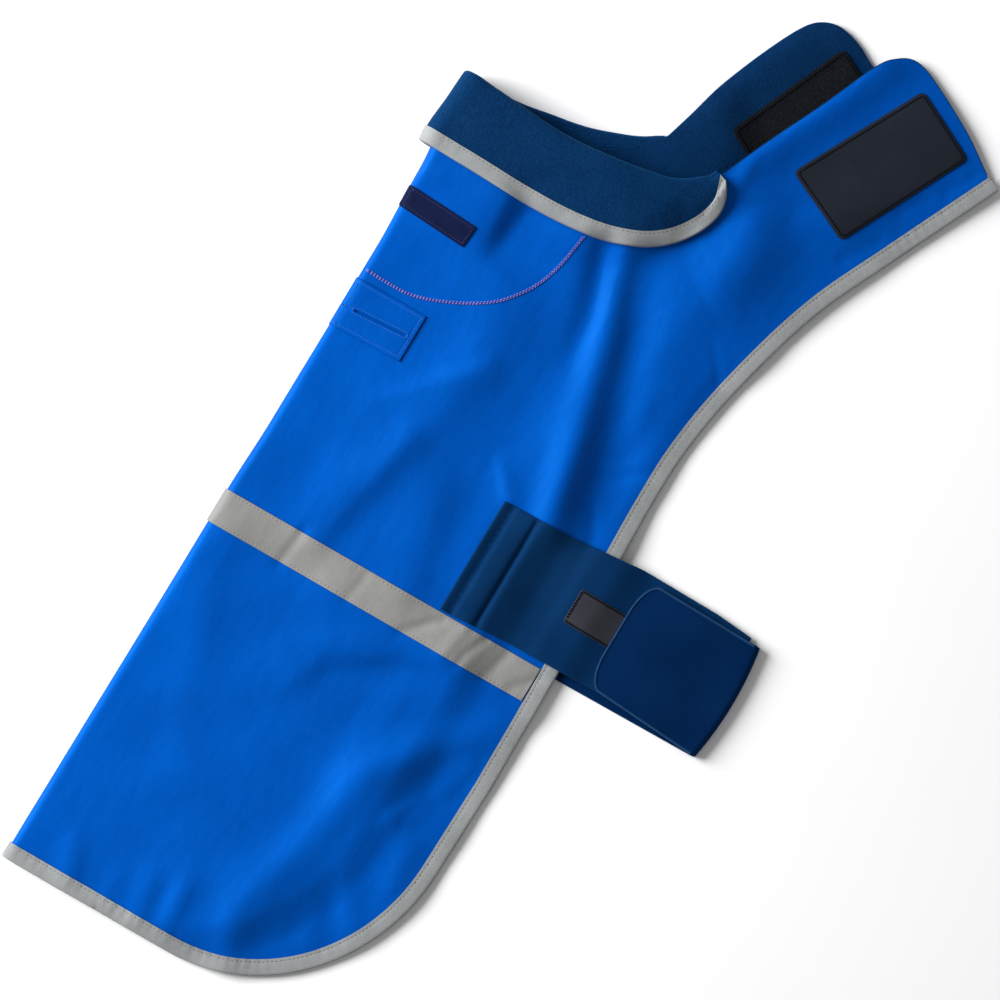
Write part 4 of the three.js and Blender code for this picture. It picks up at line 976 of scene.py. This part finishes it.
def collar_rows():
    rows = [(-r[0], r[1], -r[2], r[3], -r[4], r[5], r[6], ROLL_FAR, 0) for r in COLLAR_FAR[::-1]]
    for a in np.linspace(-FOLD_RADIUS, FOLD_RADIUS, 5):
        near = (a + FOLD_RADIUS) / (2 * FOLD_RADIUS)
        flare = COLLAR_FOLD["flare"] * math.cos(a / FOLD_RADIUS * math.pi / 2)
        rows.append((a, COLLAR_FOLD["seam"], a, COLLAR_FOLD["roll"], a, COLLAR_FOLD["edge"],
                     BINDING - 0.2, lerp(ROLL_FAR, ROLL_NEAR, near), flare))
    rows += [(*r, ROLL_NEAR, 0) for r in COLLAR_NEAR]
    return np.array(rows, float)


def smooth_rows(rows, step, fold_step):
    """Rows between the given ones, on smooth lines through them."""
    along = lengths(rows[:, 4:6])
    slope = np.gradient(rows, along, axis=0)
    places = [0.0]
    while places[-1] < along[-1]:
        at_fold = abs(np.interp(places[-1], along, rows[:, 4])) < FOLD_RADIUS + 2
        places.append(places[-1] + (fold_step if at_fold else step))
    places = np.array([*places[:-1], along[-1]])
    i = np.clip(np.searchsorted(along, places, side="right") - 1, 0, len(along) - 2)
    width = (along[i + 1] - along[i])[:, None]
    t = (places[:, None] - along[i][:, None]) / width
    return hermite(rows[i], rows[i + 1], width * slope[i], width * slope[i + 1], t)


collar_table = smooth_rows(collar_rows(), 2.5, 1.0)
seam, roll_line, edge_line = collar_table[:, 0:2], collar_table[:, 2:4], collar_table[:, 4:6]
bound = collar_table[:, 6]
flare = np.maximum(0, collar_table[:, 8])
stand = np.linalg.norm(roll_line - seam, axis=1)
fall = np.linalg.norm(edge_line - roll_line, axis=1)
out_way, back_way = unit(roll_line - seam), unit(edge_line - roll_line)
roll_radius = np.minimum(collar_table[:, 7], COLLAR / 2 + stand * 0.12)
turned = roll_radius + COLLAR / 2
centre = roll_line - out_way * turned[:, None]
REST = FALL_CLEAR + TRIM + GAP + COLLAR / 2
loose_end = fall - TRIM - GAP
collar_along = lengths(edge_line)


def on_fall(reach):
    """Points of the turned-down part, that far from the roll line."""
    return roll_line + back_way * reach[:, None]


def collar_path():
    """Along each section: where it is, its height, its tilt, and the way that it faces outward."""
    path = []
    start = SEAM / (stand - turned)
    for share in (0, 0.35, 0.7, 1):
        t = (start + (1 - start) * share * 0.9)[:, None]
        path.append((seam + (centre - seam) * t, np.full(len(stand), -COLLAR / 2), -math.pi / 2))
    for angle in np.radians(np.linspace(-90, 90, 13)):
        at = centre + out_way * (roll_radius * math.cos(angle))[:, None]
        path.append((at, -COLLAR / 2 + roll_radius * (1 + math.sin(angle)), angle))
    top = -COLLAR / 2 + 2 * roll_radius
    for t in np.linspace(0.1, 1, 12):
        h = lerp(top, REST, ramp(t, 0, 0.9)) + flare * t
        path.append((on_fall(lerp(turned, fall - bound, t)), h, math.pi / 2))
    for share in (0.25, 0.5, 0.75, 1):
        path.append((on_fall(lerp(fall - bound, loose_end, share)), REST + flare, math.pi / 2))
    return path


def collar_face(point, offset):
    at, h, tilt = point
    shifted = at + out_way * np.reshape(offset * math.cos(tilt), (-1, 1)) * (abs(tilt) < 1.5)
    return on_coat(*shifted.T)(h + offset * math.sin(tilt))


def collar_sections():
    """Both faces of the collar, the outer one swelling a little here and there."""
    rng = np.random.default_rng(SEED + 3)
    lumps = [(rng.uniform(0.02, 0.07), rng.uniform(0, 6.3), rng.uniform(0.2, 0.6), rng.uniform(0, 6.3))
             for _ in range(7)]
    path = collar_path()
    outer, inner = [], []
    for number, point in enumerate(path):
        lump = COLLAR_SWELL * sum(np.sin(collar_along * f * 2 * math.pi / 3 + p) * math.sin(number * g + q)
                                  for f, p, g, q in lumps) * (4 < number < len(path) - 4)
        outer.append(collar_face(point, COLLAR / 2 + lump))
        inner.append(collar_face(point, -COLLAR / 2 + lump * 0.5))
    return np.stack([*outer, *inner[::-1]], 1)


collar = ribbon("collar_cloth", collar_sections(), COLLAR_FLEECE, 60)
band_top, band_width = COLLAR / 2 + GAP + TRIM, bound - TRIM - 2 * GAP
collar_wobble = puckers(collar_along, SEED + 4, 15, COLLAR_PUCKER)
collar_band = []
for share, h, out in band_rows(*COLLAR_LEAF, band_top, -band_top, collar_wobble, 0, (0.0, 0.5, 1.0)):
    at = on_fall(loose_end - share * band_width + (GAP + TRIM) * out)
    collar_band.append(on_coat(*at.T)(REST + flare + h))
collar_binding = ribbon("collar_binding_cloth", np.stack(collar_band, 1), BINDING_CLOTH)


# The belly strap

def strap_relief(a, v, distance):
    """The near strap's tuck, then slow waves."""
    rise = (TUCK["end_rise"] - TUCK["end_drop"] * ramp(a, *TUCK["end"])) * ramp_down(a, *TUCK["end_out"])
    fold = np.sin(math.pi * np.clip((a - TUCK["fold_from"]) / TUCK["fold_width"], 0, 1))
    rise = rise + TUCK["fold_rise"] * fold**TUCK["fold_power"]
    rise = rise + swell(a, *TUCK["groove"]) + swell(a, *TUCK["welt"])
    wave = STRAP_WAVE["height"] * np.sin(a * STRAP_WAVE["rates"][0] + v * STRAP_WAVE["rates"][1])
    return rise + wave * ramp(a, *STRAP_WAVE["after"]) * ramp(distance, *STRAP_WAVE["inside"]), 0


def across_strap(places, low, high, count):
    return [np.column_stack([np.full(count, a), np.linspace(low, high, count)]) for a in places]


def far_strap_outline():
    low, high, deep = FAR_STRAP["tip_low"], FAR_STRAP["tip_high"], FAR_STRAP["tip_deep"]
    turn = np.linspace(-math.pi / 2, 0, 14)
    lower = np.column_stack([STRAP_LENGTH - deep + deep * np.cos(turn),
                             low + FAR_STRAP["round"] * (1 + np.sin(turn))])
    upper = np.column_stack([lower[::-1, 0], high + low - lower[::-1, 1]])
    places = (0, BEND_START, BEND_END)
    return np.vstack([list(zip(places, FAR_STRAP["low_edge"])), lower, upper,
                      list(zip(places, FAR_STRAP["high_edge"]))[::-1]])


low, high, start, end = (STRAP_PATCH[key] for key in ("low", "high", "from", "to"))
strap_patch_outline = rounded([(start, low), (end, low), (end, high), (start, high)], 2.0, 3)
strap_near = panel("strap_near_cloth", rounded(NEAR_STRAP, 0.8, 2), on_near_strap, 0, STRAP,
                   [STRAP_CLOTH], pitch=2.5, rounding=1.1, relief=strap_relief,
                   lines=across_strap(TUCK_LINES, 308, 392, 28))
strap_loop_patch = panel("strap_loop_patch_cloth", strap_patch_outline, on_near_strap,
                         STRAP + GAP, STRAP + GAP + TRIM, [STRAP_PILE], pitch=2.0, rounding=0.5,
                         relief=sewn_edge(1.6, 0.3, 0.7))
strap_far = panel("strap_far_cloth", far_strap_outline(), on_far_strap, -STRAP / 2, STRAP / 2,
                  [FAR_STRAP_CLOTH], pitch=2.5, rounding=1.1,
                  lines=across_strap(np.linspace(BEND_START, BEND_END, 9), 310, 396, 40))


def rings(side, up, sides):
    """Points round a cord, from the ways to its side and up."""
    turn = np.linspace(0, 2 * math.pi, sides, endpoint=False)[:, None]
    return side[..., None, :] * np.cos(turn) + up[..., None, :] * np.sin(turn)


def tube(name, points, ups, radius, material, sides=8):
    """A round cord along points, with the way up at each."""
    along = unit(np.gradient(points, axis=0))
    side = unit(np.cross(along, ups))
    return ribbon(name, points[:, None] + rings(side, np.cross(side, along), sides) * radius, material, 80)


tip_line = spaced(moved(spaced(far_strap_outline()[2:-2], 1.0), 1.0), 1.6)
tip_at = on_far_strap(*tip_line.T)
strap_piping = tube("strap_piping", tip_at(STRAP / 2 - 0.1), tip_at(2.0) - tip_at(1.0), 0.75, PIPING)


# Sewing

def stitches(name, lines, material, length=2.3, gap=0.8, radius=0.3, sides=5):
    """Short stitches along lines. Each is points on a flat sheet, a height, and the sheet's spots
    where that isn't the coat."""
    points, faces = [], []
    shares, girth, lift = np.array(STITCH, float).T
    total = 0
    for line, height, *spots in lines:
        line = np.asarray(line, float)
        along = lengths(line)
        starts = np.arange(gap / 2, along[-1] - length, length + gap)
        places = (starts[:, None] + shares * length).ravel()
        place = (np.interp(places, along, column) for column in line.T)
        at = (spots or [on_coat])[0](*place)
        low, up = at(height).reshape(-1, 5, 3), unit(at(height + 1.0) - at(height)).reshape(-1, 5, 3)
        side = np.cross(unit(low[:, 4] - low[:, 0])[:, None], up)
        middle = low + up * (lift * radius)[:, None]
        body = middle[:, :, None] + rings(side, up, sides) * (girth * radius)[:, None, None]
        number = total + np.arange(len(starts) * 5 * sides).reshape(-1, 5, sides)
        after = np.roll(number, -1, 2)
        quads = np.stack([number[:, :-1], number[:, 1:], after[:, 1:], after[:, :-1]], -1)
        faces += quads.reshape(-1, 4).tolist()
        faces += number[:, 0].tolist() + number[:, -1, ::-1].tolist()
        points.append(body.reshape(-1, 3))
        total += number.size
    return make_object(name, np.vstack(points), faces, [material], sharp=70)


def closed_line(outline, inset):
    return joined(moved(divided(joined(left_turning(outline)), 2)[:-1], inset, True))


def tape_line(offset):
    return divided([(near_end - 0.5, offset + TAPE["near_rise"]), (0, offset),
                    (far_end + 0.5, offset + TAPE["far_rise"])], 2)


collar_sewing = on_fall(loose_end - band_width * 0.85)
collar_height = REST + band_top - 0.28
on_trim, on_strap_patch = GAP + TRIM, STRAP + GAP + TRIM - 0.3
binding_stitches = stitches("binding_stitches", [
    (moved(bound_edge, -BINDING * 0.85), binding_top - 0.26),
    (collar_sewing[edge_line[:, 0] > FOLD_RADIUS + 1], collar_height),
    (collar_sewing[edge_line[:, 0] < -FOLD_RADIUS - 1], collar_height),
    (tape_line(TAPE["low"] + 1.9), on_trim - 0.2),
    (tape_line(TAPE["high"] - 1.9), on_trim - 0.2),
], GREY_THREAD, length=2.2, gap=0.9, radius=0.26)
arc = spline(STITCHED_ARC, 1.0)
arc_stitches = stitches("arc_stitches", [
    (moved(arc, side), 0.1) for side in (ARC_ROWS, -ARC_ROWS)
], ARC_THREAD, length=2.2, gap=0.2, radius=0.55)
round_slit = [on_slit(slit_from[0] - 2.2), (slit_from[0], slit_from[1] - 2.2),
              (slit_to[0], slit_to[1] - 2.2), on_slit(slit_to[0] + 2.4),
              (slit_to[0], slit_to[1] + 2.2), (slit_from[0], slit_from[1] + 2.2)]
patch_stitches = stitches("patch_stitches", [
    (closed_line(LEASH_PATCH, 2.6), on_trim - 0.3),
    (closed_line(round_slit, 0), on_trim + 0.2),
    ([on_slit(1.6), on_slit(slit_from[0])], on_trim - 0.05),
    ([on_slit(slit_to[0] + 0.4), on_slit(slit_to[0] + 3.4)], on_trim - 0.05),
], BLUE_THREAD, length=1.7, gap=0.3, radius=0.26)
closure_stitches = stitches("closure_stitches", [
    (closed_line(loop_outline, 2.4), GAP + PATCH - 0.1),
    (closed_line(hook_outline, 2.4), hook_low - 0.6),
    (closed_line(strap_patch_outline, 0.9), on_strap_patch, on_near_strap),
    (closed_line(strap_patch_outline, 1.6), on_strap_patch, on_near_strap),
], DARK_THREAD, length=2.0, gap=0.1, radius=0.42)
label_stitches = stitches("label_stitches", [
    ([row[:2], row[2:4]], on_trim + row[4]) for row in LABEL_SEWING
], LABEL_THREAD, length=1.6, gap=0.7, radius=0.22)

# Each sheet: its node and slot, how it is held, what it rests on, what is sewn to it, and its cut,
# which is an outline, or a width and a line along its length
SHEETS = [
    (shell, "shell", "nylon", "folded", [], [arc_stitches], shell_outline),
    (lining, "lining", "fleece", "laid", [shell], [], lining_outline),
    (edge_binding, "edge_binding", "binding", "folded", [shell], [binding_stitches],
     (2 * BINDING + 4, bound_edge)),
    (tape, "reflective_tape", "tape", "laid", [shell], [], tape_outline),
    (collar, "collar", "collar_fleece", "folded", [shell], [],
     ((stand + fall).mean() + 6, (edge_line + seam) / 2)),
    (collar_binding, "collar_binding", "binding", "folded", [collar], [],
     (2 * bound.mean() + 4, edge_line)),
    (label, "label", "label", "laid", [shell], [label_stitches], LABEL),
    (leash_patch, "leash_patch", "nylon", "laid", [shell], [patch_stitches], LEASH_PATCH),
    (flap_loop_patch, "flap_loop_patch", "loop_closure", "laid", [shell], [closure_stitches], LOOP_PATCH),
    (flap_hook_patch, "flap_hook_patch", "hook_closure", "laid", [lining], [], HOOK_PATCH),
    (strap_near, "strap_near", "strap_fleece", "laid", [shell, strap_far], [], NEAR_STRAP),
    (strap_loop_patch, "strap_loop_patch", "strap_closure", "laid", [strap_near], [],
     strap_patch_outline),
    (strap_far, "strap_far", "strap_fleece", "folded", [strap_near], [strap_piping],
     far_strap_outline()),
]
SEWN_ON = [
    (strap_piping, "strap_fleece"), (binding_stitches, "binding"), (arc_stitches, "nylon"),
    (patch_stitches, "nylon"), (closure_stitches, "loop_closure"), (label_stitches, "label"),
]
for piece, slot in [*((row[0], row[2]) for row in SHEETS), *SEWN_ON]:
    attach(piece, "root")
for piece, node, _, held, rests_on, sewn, cut in SHEETS:
    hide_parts(node)
    if isinstance(cut, tuple):
        flat, area = (cut[0], lengths(cut[1])[-1]), None
    else:
        flat, area = np.ptp(cut, axis=0), float(abs(signed_area(cut))) * MM**2
    tuple(float(x) * MM for x in flat)
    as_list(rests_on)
    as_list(sewn)

# Floor, lights and camera
scene = bpy.context.scene
camera_data = bpy.data.cameras.new("photo_camera")
camera_data.sensor_width = SENSOR
camera_data.lens = SENSOR * CAMERA_HEIGHT / VIEW_WIDTH
camera_data.clip_end = 20
scene.camera = add_object("photo_camera", camera_data, VIEW_CENTRE + Vector((0, 0, CAMERA_HEIGHT)),
                          (0, 0, PHOTO_ANGLE))

floor_mesh = bpy.data.meshes.new("floor")
floor_mesh.from_pydata([(x * FLOOR_HALF, y * FLOOR_HALF, 0) for x, y in ((-1, -1), (1, -1), (1, 1), (-1, 1))],
                       [], [(0, 1, 2, 3)])
floor_mesh.materials.append(PALE_FLOOR)
add_object("floor", floor_mesh)

key_data = bpy.data.lights.new("key", "AREA")
key_data.shape = "DISK"
key_data.size = KEY["size"]
key_data.energy = KEY["power"]
add_object("key", key_data, VIEW_CENTRE + KEY["towards"].normalized() * KEY["distance"],
           (-KEY["towards"]).to_track_quat("-Z", "Y").to_euler())

world = bpy.data.worlds.new("studio")
world.use_nodes = True
world.node_tree.nodes["Background"].inputs["Color"].default_value = (1, 1, 1, 1)
world.node_tree.nodes["Background"].inputs["Strength"].default_value = WORLD_STRENGTH
scene.world = world
scene.view_settings.view_transform = "Standard"
